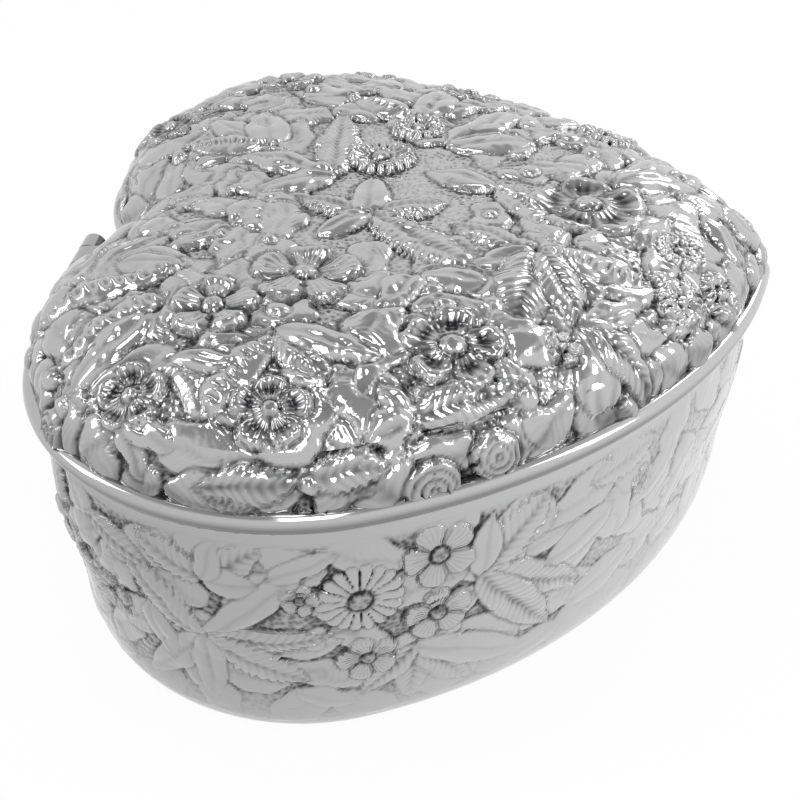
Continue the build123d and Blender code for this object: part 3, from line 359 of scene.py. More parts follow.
@dataclass(frozen=True)
class MetalFinish:
    """A machined or cast metal of the movement."""

    name: str
    colour: Colour
    shade: Colour
    roughness: float
    grain_scale: float
    grain_depth: float
    unevenness: float = 0.2
    bump_strength: float = 0.5

    def build(self) -> bpy.types.Material:
        """Makes the material."""
        shader = Shader(self.name)
        shader.feed("Metallic", 1.0)
        grain = shader.noise(self.grain_scale, 3.0)
        shader.feed("Base Color", shader.blend(grain, self.colour, self.shade))
        shader.feed("Roughness", self.roughness + self.unevenness * (grain - 0.5))
        shader.bump(grain, self.grain_depth, self.bump_strength)
        return shader.material


@dataclass(frozen=True)
class ClothFinish:
    """A short-piled velvet or a plain matt covering."""

    name: str
    colour: Colour
    nap: Colour
    sheen: float
    sheen_roughness: float = 0.35
    roughness: float = 0.85
    pile_scale: float = 3200.0
    pile_depth: float = 0.00012
    pile_strength: float = 0.7
    brushing_scale: float = 70.0

    def build(self) -> bpy.types.Material:
        """Makes the material."""
        shader = Shader(self.name)
        pile = shader.noise(self.pile_scale, 2.0)
        brushed = shader.noise(self.brushing_scale, 3.0)
        shader.feed("Base Color", shader.blend(0.5 * pile + 0.5 * brushed, self.colour, self.nap))
        shader.feed("Roughness", self.roughness)
        shader.feed("Sheen Weight", self.sheen)
        shader.feed("Sheen Roughness", self.sheen_roughness)
        shader.bump(pile, self.pile_depth, self.pile_strength)
        return shader.material


Finish = SilverFinish | MetalFinish | ClothFinish

# The first colour of a silver is its plate at the lobes; the second is the painted light that lightens it
# towards the heart's tip.
SILVER_LID = SilverFinish("silver_lid", Ground.RELIEF, (0.47, 0.47, 0.472), (0.55, 0.55, 0.552))
SILVER_BASE = SilverFinish("silver_base", Ground.RELIEF, swell=0.6, ground_painted_shade=0.45)
SILVER_PLAIN = SilverFinish("silver_plain", Ground.NONE)
# The roll's finish paints shade on the bead's underside.
SILVER_ROLL = SilverFinish("silver_roll", Ground.ROLL, (0.45, 0.45, 0.452))
VELVET = ClothFinish("blue_velvet", (0.012, 0.02, 0.085), (0.03, 0.05, 0.17), 0.6)
COLLAR = ClothFinish("black_collar", (0.03, 0.03, 0.034), (0.05, 0.05, 0.055), 0.0)
ZINC = MetalFinish("cast_zinc", (0.42, 0.42, 0.43), (0.34, 0.34, 0.35), 0.5, 900.0, 0.00006)
STEEL = MetalFinish("brushed_steel", (0.55, 0.55, 0.57), (0.45, 0.45, 0.47), 0.3, 1500.0, 0.00002)
BRASS = MetalFinish("turned_brass", (0.68, 0.46, 0.15), (0.56, 0.37, 0.11), 0.26, 1100.0, 0.00002)

FINISH_OF_SLOT: dict[str, Finish] = {
    "silver": SILVER_PLAIN,
    "velvet": VELVET,
    "collar": COLLAR,
    "zinc": ZINC,
    "steel": STEEL,
    "brass": BRASS,
}
MATERIALS: dict[str, bpy.types.Material] = {}


def material_of(finish: Finish) -> bpy.types.Material:
    """The material of a finish, made once."""
    if finish.name not in MATERIALS:
        MATERIALS[finish.name] = finish.build()
    return MATERIALS[finish.name]


class Form(Enum):
    """The kinds of flower and leaf in the chasing."""

    FIVE = "five"
    FLUTED = "fluted"
    CUPPED = "cupped"
    DAISY = "daisy"
    ROSETTE = "rosette"
    BUD = "bud"
    PLAIN = "plain"
    VEINED = "veined"
    SERRATED = "serrated"
    BEADED = "beaded"
    FAN = "fan"
    BROAD = "broad"


@dataclass
class Cut:
    """What a motif does at each point near it: how far inside its edge, how high, how much painted shade,
    lined, grainy.
    """

    inside: Array
    height: Array
    low: Array
    vein: Array
    veined: Array
    grain: Array


@dataclass(frozen=True)
class FlowerForm:
    """How a flower is cut: its petals, their hollows and flutes, and the seeded heart.

    Reaches are shares of the flower's radius, and heights are shares of its lift.
    """

    petals: int
    notch: float
    cup: float
    flutes: float
    groove: float
    heart: float = 0.25
    heart_edge: float = 0.15
    root: float = 0.45
    tip_start: float = 0.8
    tip_fall: float = 0.35
    cup_middle: float = 0.58
    cup_reach: float = 0.24
    cup_dark: float = 1.1
    seam_start: float = 0.55
    seam_dark: float = 0.9
    ring_reach: float = 0.05
    ring_depth: float = 0.3
    ring_dark: float = 0.6
    fluting: float = 0.75

    def cut(self, x: Array, y: Array, radius: float, width: float) -> Cut:
        """Shapes the flower about its middle.

        Args:
            x: distances from the middle along one axis, in millimetres.
            y: distances along the other axis.
            radius: the flower's radius.
            width: not needed for a round form.

        Returns:
            The cut at each point.
        """
        rho = np.hypot(x, y) / radius
        turn = np.arctan2(y, x) * self.petals / FULL_TURN
        off = np.abs(2.0 * np.mod(turn + 0.5, 1.0) - 1.0)
        outline = 1.0 - self.notch * off**3
        opened = smooth_step(self.heart, self.heart + self.heart_edge, rho)
        rise = self.root + (1.0 - self.root) * smooth_step(self.heart, self.tip_start, rho)
        rise = rise - self.tip_fall * smooth_step(self.tip_start, 1.0, rho / outline)
        hollow = self.cup * bell(rho, self.cup_middle, self.cup_reach) * (1.0 - off**3)
        seam = self.groove * smooth_step(self.seam_start, 1.0, off) * opened
        dome = self.root * (1.0 + np.sqrt(np.clip(1.0 - (rho / self.heart) ** 2, 0.0, 1.0)))
        ring = bell(rho, self.heart, self.ring_reach)
        height = np.where(rho < self.heart, dome, rise - hollow - seam) - self.ring_depth * ring
        # Painted shade in the cups, the seams between petals and the ring round the heart.
        low = self.cup_dark * hollow**2 + self.seam_dark * seam + self.ring_dark * ring
        veined = (self.fluting if self.flutes else 0.0) * opened
        vein = turn * max(self.flutes, 1.0)
        return Cut((outline - rho) * radius, height, np.clip(low, 0.0, 1.0), vein, veined, 1.0 - opened)


@dataclass(frozen=True)
class BossForm:
    """A round boss, plain as a bud or with rings cut one inside another."""

    rings: float = 0.0
    depth: float = 0.0
    edge: float = 0.2
    ring_dark: float = 2.5
    darkest: float = 0.6

    def cut(self, x: Array, y: Array, radius: float, width: float) -> Cut:
        """Shapes the boss about its middle.

        Args:
            x: distances from the middle along one axis, in millimetres.
            y: distances along the other axis.
            radius: the boss's radius.
            width: not needed for a round form.

        Returns:
            The cut at each point.
        """
        rho = np.hypot(x, y) / radius
        wave = self.depth * np.cos(FULL_TURN * self.rings * rho)
        height = self.edge + (1.0 - self.edge) * np.sqrt(np.clip(1.0 - rho**2, 0.0, 1.0)) + wave
        # Painted shade in the troughs between the rings.
        low = np.clip(-self.ring_dark * wave, 0.0, self.darkest)
        none = np.zeros_like(rho)
        return Cut((1.0 - rho) * radius, height, low, none, none, none)


@dataclass(frozen=True)
class LeafForm:
    """How a leaf is cut: its edge, veins, midrib and row of beads; pitches in millimetres."""

    teeth: float = 0.0
    veins: float = 0.0
    midrib: float = 0.3
    beads: float = 0.0
    roundness: float = 2.4
    fan: bool = False
    tooth_pitch: float = 1.1
    bead_pitch: float = 1.5
    bead_reach: float = 0.14
    bead_dark: float = 1.6
    vein_pitch: float = 1.15
    vein_slant: float = 0.9
    fan_veins: float = 5.0
    midrib_reach: float = 0.08
    midrib_least: float = 0.15
    midrib_dark: float = 1.1
    edge: float = 0.25
    ends: float = 0.45
    least_half: float = 0.05
    most_side: float = 1.5
    arch: float = 0.8
    blade_ends: tuple[float, float] = (0.012, 0.985)
    blade_bend: float = 0.85
    blade_fullness: float = 0.62
    fan_stalk: float = 0.02
    fan_spread: float = 0.55
    fan_power: int = 6

    def half_width(self, t: Array, width: float) -> Array:
        """Half the leaf's width at each share t of its length."""
        if self.fan:
            spread = np.clip(t, self.fan_stalk, 1.0) ** self.fan_spread
            return 0.5 * width * spread * np.sqrt(np.clip(1.0 - t**self.fan_power, 0.0, 1.0))
        along = np.clip(t, *self.blade_ends) ** self.blade_bend
        return 0.5 * width * np.sin(math.pi * along) ** self.blade_fullness

    def cut(self, x: Array, y: Array, length: float, width: float) -> Cut:
        """Shapes the leaf from its stalk at x 0 to its tip.

        Args:
            x: distances along the leaf, in millimetres.
            y: distances aside from its midrib.
            length: the leaf's length.
            width: its width where it is broadest.

        Returns:
            The cut at each point.
        """
        t = np.clip(x / length, 0.0, 1.0)
        past = np.maximum(np.maximum(-x, x - length), 0.0)
        half = self.half_width(t, width)
        half = half * (1.0 + self.teeth * (np.mod(x / self.tooth_pitch, 1.0) - 0.5))
        side = np.clip(np.abs(y) / np.maximum(half, self.least_half), 0.0, self.most_side)
        body = self.edge + (1.0 - self.edge) * np.clip(1.0 - side**self.roundness, 0.0, 1.0)
        crease = self.midrib * bell(y, 0.0, self.midrib_reach * width + self.midrib_least)
        row = np.cos(FULL_TURN * x / self.bead_pitch)
        pearl = self.beads * bell(y, 0.0, self.bead_reach * width) * row
        arched = self.ends + (1.0 - self.ends) * np.sin(math.pi * t**self.arch)
        height = (body - crease) * arched + pearl
        # Painted shade in the midrib's crease and between the beads.
        low = np.clip(self.midrib_dark * crease - self.bead_dark * np.minimum(pearl, 0.0), 0.0, 1.0)
        if self.fan:
            vein = self.fan_veins * y / width
        else:
            vein = (x - self.vein_slant * np.abs(y)) / self.vein_pitch
        inside = half - np.abs(y) - past
        return Cut(inside, height, low, vein, np.full_like(x, self.veins), np.zeros_like(x))


FORMS: dict[Form, FlowerForm | BossForm | LeafForm] = {
    Form.FIVE: FlowerForm(5, 0.3, 0.3, 7.0, 0.5),
    Form.FLUTED: FlowerForm(5, 0.3, 0.2, 5.0, 0.6),
    Form.CUPPED: FlowerForm(5, 0.34, 0.8, 5.0, 0.5),
    Form.DAISY: FlowerForm(18, 0.12, 0.1, 0.0, 0.8, heart=0.28),
    Form.ROSETTE: BossForm(3.5, 0.18),
    Form.BUD: BossForm(),
    Form.PLAIN: LeafForm(),
    Form.VEINED: LeafForm(veins=0.8, midrib=0.4),
    Form.SERRATED: LeafForm(teeth=0.35, veins=0.55, midrib=0.35),
    Form.BEADED: LeafForm(midrib=0.0, beads=0.4),
    Form.FAN: LeafForm(veins=0.9, midrib=0.0, fan=True),
    Form.BROAD: LeafForm(veins=0.25, midrib=0.22),
}


class Skin:
    """The outside of a shell, for laying motifs on."""

    # A height over the whole box in metres, and the least that the square of a face's area counts as.
    ABOVE = 0.2
    LEAST_SQUARE = 1e-24

    def __init__(self, node: bpy.types.Object, outward: Callable[[Array, Array], Array]) -> None:
        """Takes the faces of a node's mesh that are its outside.

        Args:
            node: the shell.
            outward: tells, from the middles and normals of faces, which of them to keep.
        """
        mesh = node.data
        mesh.calc_loop_triangles()
        co = np.empty(len(mesh.vertices) * 3)
        mesh.vertices.foreach_get("co", co)
        co = co.reshape(-1, 3)
        tri = np.empty(len(mesh.loop_triangles) * 3, dtype=int)
        mesh.loop_triangles.foreach_get("vertices", tri)
        keys = np.round(co / WELD).astype(np.int64)
        _, first, joined = np.unique(keys, axis=0, return_index=True, return_inverse=True)
        self.points = co[first]
        tri = joined.reshape(-1)[tri.reshape(-1, 3)]
        corner = self.points[tri]
        normal = np.cross(corner[:, 1] - corner[:, 0], corner[:, 2] - corner[:, 0])
        keep = outward(corner.mean(axis=1), unit_rows(normal))
        self.triangles = tri[keep]
        normals = np.zeros_like(self.points)
        for place in range(3):
            np.add.at(normals, self.triangles[:, place], normal[keep])
        self.normals = unit_rows(normals)
        self.tree = BVHTree.FromPolygons(self.points.tolist(), self.triangles.tolist())

    def nearest(self, points: Array) -> tuple[Array, Array]:
        """Finds the shell under points near it.

        Args:
            points: the points, in metres.

        Returns:
            The nearest place on the shell to each point, and the smooth normal there.
        """
        hits = [self.tree.find_nearest(point) for point in points.tolist()]
        place = np.array([hit[0] for hit in hits])
        index = self.triangles[np.array([hit[2] for hit in hits])]
        a, b, c = (self.points[index[:, k]] for k in range(3))
        edge_b, edge_c, to = b - a, c - a, place - a
        bb = (edge_b * edge_b).sum(1)
        bc = (edge_b * edge_c).sum(1)
        cc = (edge_c * edge_c).sum(1)
        tb = (to * edge_b).sum(1)
        tc = (to * edge_c).sum(1)
        det = np.maximum(bb * cc - bc * bc, self.LEAST_SQUARE)
        second = np.clip((cc * tb - bc * tc) / det, 0.0, 1.0)[:, None]
        third = np.clip((bb * tc - bc * tb) / det, 0.0, 1.0)[:, None]
        normal = (1.0 - second - third) * self.normals[index[:, 0]]
        normal = normal + second * self.normals[index[:, 1]] + third * self.normals[index[:, 2]]
        return place, unit_rows(normal)

    def under(self, x: float, y: float) -> Array:
        """The place on the shell straight under a point in plan, in millimetres."""
        hit = self.tree.ray_cast((x * MM, y * MM, self.ABOVE), (0.0, 0.0, -1.0))
        if hit[0] is None:
            return self.nearest(np.array([[x * MM, y * MM, RIM_TOP_Z]]))[0][0]
        return np.array(hit[0])

    def struck(self, starts: Array, rays: Array) -> Array:
        """Finds where rays from within strike the shell.

        Args:
            starts: where the rays start, in metres.
            rays: the way that each goes.

        Returns:
            The place that each strikes, or the nearest to its start where it misses.
        """
        hits = []
        for start, ray in zip(starts.tolist(), rays.tolist()):
            place = self.tree.ray_cast(start, ray)[0]
            hits.append(self.tree.find_nearest(start)[0] if place is None else place)
        return np.array(hits)


@dataclass
class Laying:
    """One motif's place on a shell: start and tip in metres, width and lift in millimetres."""

    form: Form
    start: Array
    tip: Array
    width: float
    lift: float
    warp: float
    round_form: bool = False


@dataclass
class Net:
    """A closed thin net over part of a shell: its points on the shell, the first of them to be raised."""

    points: Array
    faces: list[tuple[int, ...]]
    raised: int


@dataclass(frozen=True)
class HeartLine:
    """The case's outline in plan, of arcs, in millimetres."""

    half_width: float = 55.0
    lobe_radius: float = 33.7
    flank_radius: float = 82.0
    flank_angle: float = -17.7
    tip_radius: float = 4.7
    least_tip_radius: float = 3.0
    cleft_radius: float = 3.0
    back_reach: float = 35.8
    side_points: int = 160
    tip_points: int = 30
    look_ahead: float = 0.5

    def half(self, inset: float) -> Array:
        """Draws the right half of the outline, from the cleft to the tip.

        Args:
            inset: how far inside the outline the line runs.

        Returns:
            The points of the line in plan.
        """
        lobe_x = self.half_width - self.lobe_radius
        turn = math.radians(self.flank_angle)
        reach = self.lobe_radius - self.flank_radius
        flank_x = lobe_x + reach * math.cos(turn)
        rise = reach * math.sin(turn)
        drop = math.sqrt((self.flank_radius - self.tip_radius) ** 2 - flank_x**2) + self.tip_radius - rise
        lobe_y = 0.5 * (drop - self.back_reach)
        flank_y = lobe_y + rise
        cleft_y = lobe_y + math.sqrt((self.lobe_radius + self.cleft_radius) ** 2 - lobe_x**2)
        tip = max(self.tip_radius - inset, self.least_tip_radius)
        flank = self.flank_radius - inset
        tip_y = flank_y - math.sqrt((flank - tip) ** 2 - flank_x**2)
        start = math.atan2(cleft_y - lobe_y, -lobe_x)
        end = math.atan2(tip_y - flank_y, -flank_x)
        runs = []
        for x, y, radius, first, last, count in (
            (lobe_x, lobe_y, self.lobe_radius - inset, start, turn, self.side_points),
            (flank_x, flank_y, flank, turn, end, self.side_points),
            (0.0, tip_y, tip, end, -0.5 * math.pi, self.tip_points),
        ):
            angle = np.linspace(first, last, count)
            arc = np.stack([x + radius * np.cos(angle), y + radius * np.sin(angle)], 1)
            runs.append(arc[1:] if runs else arc)
        return np.concatenate(runs)

    def row(self, inset: float, step: float, shift: float) -> Array:
        """Places spaced along the outline, set in from the rim.

        Args:
            inset: how far inside the outline the row runs.
            step: about the distance between places.
            shift: where between two steps the first place lies, 0 to 1.

        Returns:
            The x and y of each place and the heading of the line there, in radians.
        """
        right = self.half(inset)
        line = np.concatenate([right, (right * (-1.0, 1.0))[::-1][1:], right[:1]])
        run = np.concatenate([[0.0], np.cumsum(np.linalg.norm(np.diff(line, axis=0), axis=1))])
        count = int(run[-1] / step)
        at = (np.arange(count) + shift) / count * run[-1]
        x, y = (np.interp(at, run, line[:, axis]) for axis in range(2))
        next_x, next_y = (np.interp(at + self.look_ahead, run, line[:, axis]) for axis in range(2))
        return np.stack([x, y, np.arctan2(next_y - y, next_x - x)], 1)


HEART = HeartLine()


def outward_of(row: Array) -> Array:
    """The way out of the heart at each place of a row."""
    return np.stack([-np.sin(row[:, 2]), np.cos(row[:, 2])], 1)


def inside_line(points: Array, line: Array) -> Array:
    """Which points lie inside a closed line, both in plan."""
    inside = np.zeros(len(points), dtype=bool)
    for (x0, y0), (x1, y1) in zip(line, np.roll(line, -1, axis=0)):
        crosses = (y0 > points[:, 1]) != (y1 > points[:, 1])
        slope = (x1 - x0) / (y1 - y0) if y1 != y0 else 0.0
        inside ^= crosses & (points[:, 0] < x0 + slope * (points[:, 1] - y0))
    return inside


def staggered_grid(spacing: float, fence: Array) -> Array:
    """Places in plan in staggered rows, inside a closed line, in millimetres."""
    across = np.arange(-CASE_HALF, CASE_HALF, spacing)
    along = np.arange(-CASE_HALF, CASE_HALF, ROW_RATIO * spacing)
    grid = np.stack(np.meshgrid(across, along), 2)
    grid[1::2, :, 0] += 0.5 * spacing
    grid = grid.reshape(-1, 2)
    return grid[inside_line(grid, fence)]


def over_crown(skin: Skin, inset: float, step: float, under_step: float) -> Net:
    """A net over the dome inside a line set in from its outline.

    Args:
        skin: the outside of the lid.
        inset: how far in from the outline the net's edge runs, in millimetres.
        step: the distance between points.
        under_step: the same on its underside.

    Returns:
        The net, closed below.
    """
    ring = HEART.row(inset, step, 0.0)[:, :2]
    count = len(ring)
    edges = [(i, (i + 1) % count) for i in range(count)]
    points: list[Array] = []
    faces: list[tuple[int, ...]] = []
    ring_index = []
    for spacing in (step, under_step):
        fence = HEART.row(inset + FENCE_GAP * spacing, step, 0.0)[:, :2]
        flat = np.concatenate([ring, staggered_grid(spacing, fence)])
        flat_points, _, triangles, origin, _, _ = delaunay_2d_cdt(
            [Vector(p) for p in flat.tolist()], edges, [], 1, FLAT_WELD
        )
        first = sum(len(p) for p in points)
        place = {old: new for new, olds in enumerate(origin) for old in olds}
        ring_index.append([first + place[i] for i in range(count)])
        faces.extend(tuple(first + i for i in face) for face in triangles)
        points.append(np.array([skin.under(p[0], p[1]) for p in flat_points]))
    upper, lower = ring_index
    for i, k in edges:
        faces.append((upper[i], upper[k], lower[k], lower[i]))
    return Net(np.concatenate(points), faces, len(points[0]))


def round_band(rows: list[Array], under_rows: int) -> Net:
    """A net in a band round a shell, given row by row.

    Args:
        rows: places on the shell, each row a closed ring of as many points.
        under_rows: how many of the rows are kept for its underside.

    Returns:
        The net, closed below.
    """
    kept = np.linspace(0, len(rows) - 1, under_rows).astype(int)[::-1]
    rings = rows + [rows[i] for i in kept]
    count = len(rows[0])
    faces: list[tuple[int, ...]] = []
    for row in range(len(rings)):
        this, after = row * count, (row + 1) % len(rings) * count
        for i in range(count):
            k = (i + 1) % count
            faces.append((this + i, this + k, after + k, after + i))
    return Net(np.concatenate(rings), faces, len(rows) * count)


def wander(points: Array, seed: int, least: float, most: float, waves: int = 14) -> Array:
    """A smooth random field of about -1 to 1 over points in metres.

    Args:
        points: the places.
        seed: picks one field.
        least: its shortest wave in millimetres.
        most: its longest wave.
        waves: how many waves are laid over each other.

    Returns:
        The value at each point.
    """
    rng = np.random.default_rng(seed)
    total = np.zeros(len(points))
    for _ in range(waves):
        way = rng.normal(size=3)
        way *= FULL_TURN / (np.linalg.norm(way) * rng.uniform(least, most) * MM)
        total += np.sin(points @ way + rng.uniform(0.0, FULL_TURN))
    return total / math.sqrt(0.5 * waves)


def make_piece(
    name: str, points: Array, faces: list[tuple[int, ...]], finish: SilverFinish, body: str, crease: float
) -> bpy.types.Object:
    """Makes one silver piece and hangs it on its body.

    Args:
        name: the piece's name.
        points: its points, in metres.
        faces: its faces, which close it.
        finish: its finish.
        body: the body that it rides on.
        crease: the angle in degrees from which an edge stays sharp.

    Returns:
        The piece.
    """
    mesh = bpy.data.meshes.new(name)
    mesh.from_pydata(points.tolist(), [], faces)
    mesh.update()
    obj = bpy.data.objects.new(name, mesh)
    bpy.context.scene.collection.objects.link(obj)
    make_active(obj)
    bpy.ops.object.mode_set(mode="EDIT")
    bpy.ops.mesh.select_all(action="SELECT")
    bpy.ops.mesh.normals_make_consistent(inside=False)
    bpy.ops.object.mode_set(mode="OBJECT")
    bpy.ops.object.shade_smooth_by_angle(angle=math.radians(crease))
    clear_selection()
    mesh.materials.append(material_of(finish))
    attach(obj, body)
    LOG.info("%s: %d points, %d faces", name, len(points), len(faces))
    return obj


class Chasing:
    """A net over a shell, raised motif by motif like chased sheet."""

    WARP_SEEDS = (11, 12)
    WARP_WAVES = (3.0, 8.0)
    # The edge of a motif and the line cut round it, in millimetres inside the edge at softness 1.
    EDGE = (-0.1, 0.4)
    LINE_PLACE = -0.15
    LINE_REACH = 0.25
    LINE_DEPTH = 0.22
    # How much of the work below a motif shows through it, and the least height of a motif.
    CARRIED = 0.3
    FOOTING = 0.25
    # How far past its radius a round motif reaches, and how alike the shell's normal has to be there.
    ROUND_MARGIN = 1.0
    SAME_SIDE = 0.1
    # How the heights are evened out to find the hollows, and how dark the painted shade in them is.
    HOLLOW_ROUNDS = 40
    HOLLOW_MIX = 0.7
    HOLLOW_DARK = 2.0
    CREASE = 70.0

    def __init__(self, name: str, skin: Skin, net: Net, lift: float, line: float, softness: float) -> None:
        """Starts with a plain net.

        Args:
            name: the piece's name.
            skin: the shell's outside.
            net: the net over it.
            lift: the height of the tallest motifs, in millimetres.
            line: how dark the painted shade in the line round a motif is.
            softness: how wide the edge of a motif is, 1 for the lid's.
        """
        self.name = name
        self.skin = skin
        self.net = net
        self.place, self.out = skin.nearest(net.points)
        self.lift = lift
        self.line = line
        self.softness = softness
        warps = [wander(self.place, seed, *self.WARP_WAVES) for seed in self.WARP_SEEDS]
        self.warp_x, self.warp_y = warps
        count = len(net.points)
        self.height = np.zeros(count)
        self.low = np.zeros(count)
        self.ground = np.ones(count)
        self.vein = np.zeros(count)
        self.veined = np.zeros(count)

    def lay(self, laying: Laying) -> None:
        """Raises one motif over what lies there already, with a line cut round it.

        Args:
            laying: the motif and its place.
        """
        chord = laying.tip - laying.start
        length = float(np.linalg.norm(chord)) / MM
        back = 0.0 if laying.round_form else 0.5
        middle, normal = self.skin.nearest((laying.start + back * chord)[None, :])
        ahead = unit_rows((chord - normal[0] * (chord @ normal[0]))[None, :])[0]
        aside = np.cross(normal[0], ahead)
        away = (self.place - middle[0]) / MM
        reach = length + self.ROUND_MARGIN if laying.round_form else 0.5 * length + laying.width
        close = (away**2).sum(1) < reach**2
        near = np.flatnonzero(close & (self.out @ normal[0] > self.SAME_SIDE))
        x = away[near] @ ahead + back * length + laying.warp * self.warp_x[near]
        y = away[near] @ aside + laying.warp * self.warp_y[near]
        cut = FORMS[laying.form].cut(x, y, length, laying.width)
        inside = cut.inside / self.softness
        cover = smooth_step(*self.EDGE, inside)
        line = bell(inside, self.LINE_PLACE, self.LINE_REACH)
        over = self.CARRIED * self.height[near] + laying.lift * (self.FOOTING + cut.height)
        self.height[near] += cover * (over - self.height[near]) - self.LINE_DEPTH * laying.lift * line
        # Painted shade: the motif's own, and along the line cut round it.
        self.low[near] += cover * (self.line * cut.low / FULL_LINE - self.low[near])
        self.low[near] = np.maximum(self.low[near], self.line * line)
        self.ground[near] += cover * (cut.grain - self.ground[near])
        self.veined[near] += cover * (cut.veined - self.veined[near])
        self.vein[near] = np.where(cover > 0.5, cut.vein, self.vein[near])

    def keep_clear(self, node: bpy.types.Object, margin: float) -> None:
        """Sinks the net into the shell round a fitting."""
        box = np.array([corner[:] for corner in node.bound_box])
        low, high = box.min(0) - margin * MM, box.max(0) + margin * MM
        self.height[((self.place > low) & (self.place < high)).all(1)] = -SUNK

    def paint_hollow_shade(self, mesh: bpy.types.Mesh) -> None:
        """Paints shade on what lies lower than its surroundings.

        Args:
            mesh: the net as a mesh, for its edges.
        """
        ends = np.empty(len(mesh.edges) * 2, dtype=int)
        mesh.edges.foreach_get("vertices", ends)
        a, b = ends.reshape(-1, 2).T
        keep = (a < self.net.raised) & (b < self.net.raised)
        a, b = a[keep], b[keep]
        count = len(self.height)
        degree = np.maximum(np.bincount(a, minlength=count) + np.bincount(b, minlength=count), 1)
        mean = self.height.copy()
        for _ in range(self.HOLLOW_ROUNDS):
            total = np.bincount(a, mean[b], count) + np.bincount(b, mean[a], count)
            mean = (1.0 - self.HOLLOW_MIX) * mean + self.HOLLOW_MIX * total / degree
        hollow = np.clip((mean - self.height) / self.lift, 0.0, 1.0)
        self.low = np.clip(self.low + self.HOLLOW_DARK * self.line * hollow, 0.0, 1.0)

    def finish(self, finish: SilverFinish, body: str) -> bpy.types.Object:
        """Makes the piece and gives its points the values that the finish reads.

        Args:
            finish: the silver of the piece.
            body: the body that it rides on.

        Returns:
            The piece.
        """
        high = np.where(np.arange(len(self.place)) < self.net.raised, FOIL + self.height, -SUNK)
        points = self.place + self.out * (high * MM)[:, None]
        obj = make_piece(self.name, points, self.net.faces, finish, body, self.CREASE)
        self.paint_hollow_shade(obj.data)
        # low is the painted shade that the finish reads.
        for name in ("low", "ground", "vein", "veined"):
            layer = obj.data.attributes.new(name, "FLOAT", "POINT")
            layer.data.foreach_set("value", getattr(self, name).astype(np.float32))
        return obj


@dataclass(frozen=True)
class Bloom:
    """A flower at a place on a shell, in millimetres."""

    a: float
    b: float
    radius: float
    form: Form


@dataclass(frozen=True)
class Blade:
    """A leaf of a spray: the way it points in degrees, and its sizes in millimetres."""

    heading: float
    length: float
    width: float
    form: Form = Form.PLAIN


@dataclass(frozen=True)
class Spray:
    """Leaves that spring from one place."""

    a: float
    b: float
    blades: tuple[Blade, ...]


# The lid, in plan: places are x and y.
LID_BLOOMS = (
    Bloom(-26, 12, 6.6, Form.FIVE),
    Bloom(-33, 21.5, 5.1, Form.FLUTED),
    Bloom(-47.5, 13.5, 4.2, Form.CUPPED),
    Bloom(-44.5, 28.5, 4.0, Form.CUPPED),
    Bloom(-37.5, -5, 5.6, Form.CUPPED),
    Bloom(-7, -22.5, 7.5, Form.CUPPED),
    Bloom(-35, -17, 2.0, Form.FIVE),
    Bloom(7, 5, 4.7, Form.DAISY),
    Bloom(17.5, 0, 4.0, Form.DAISY),
    Bloom(-14.5, -33, 3.1, Form.DAISY),
    Bloom(-22.5, -32, 3.1, Form.DAISY),
    Bloom(-17.5, -38, 3.0, Form.DAISY),
    Bloom(-49.5, -3, 3.2, Form.ROSETTE),
    Bloom(-46, -9.5, 2.7, Form.ROSETTE),
    Bloom(-42, 38.5, 2.8, Form.ROSETTE),
    Bloom(38, 22, 5.5, Form.FIVE),
    Bloom(36, -8, 5.0, Form.CUPPED),
    Bloom(20, -28, 4.5, Form.DAISY),
    Bloom(22, 38, 4.5, Form.CUPPED),
    Bloom(48, 8, 4.0, Form.FLUTED),
)
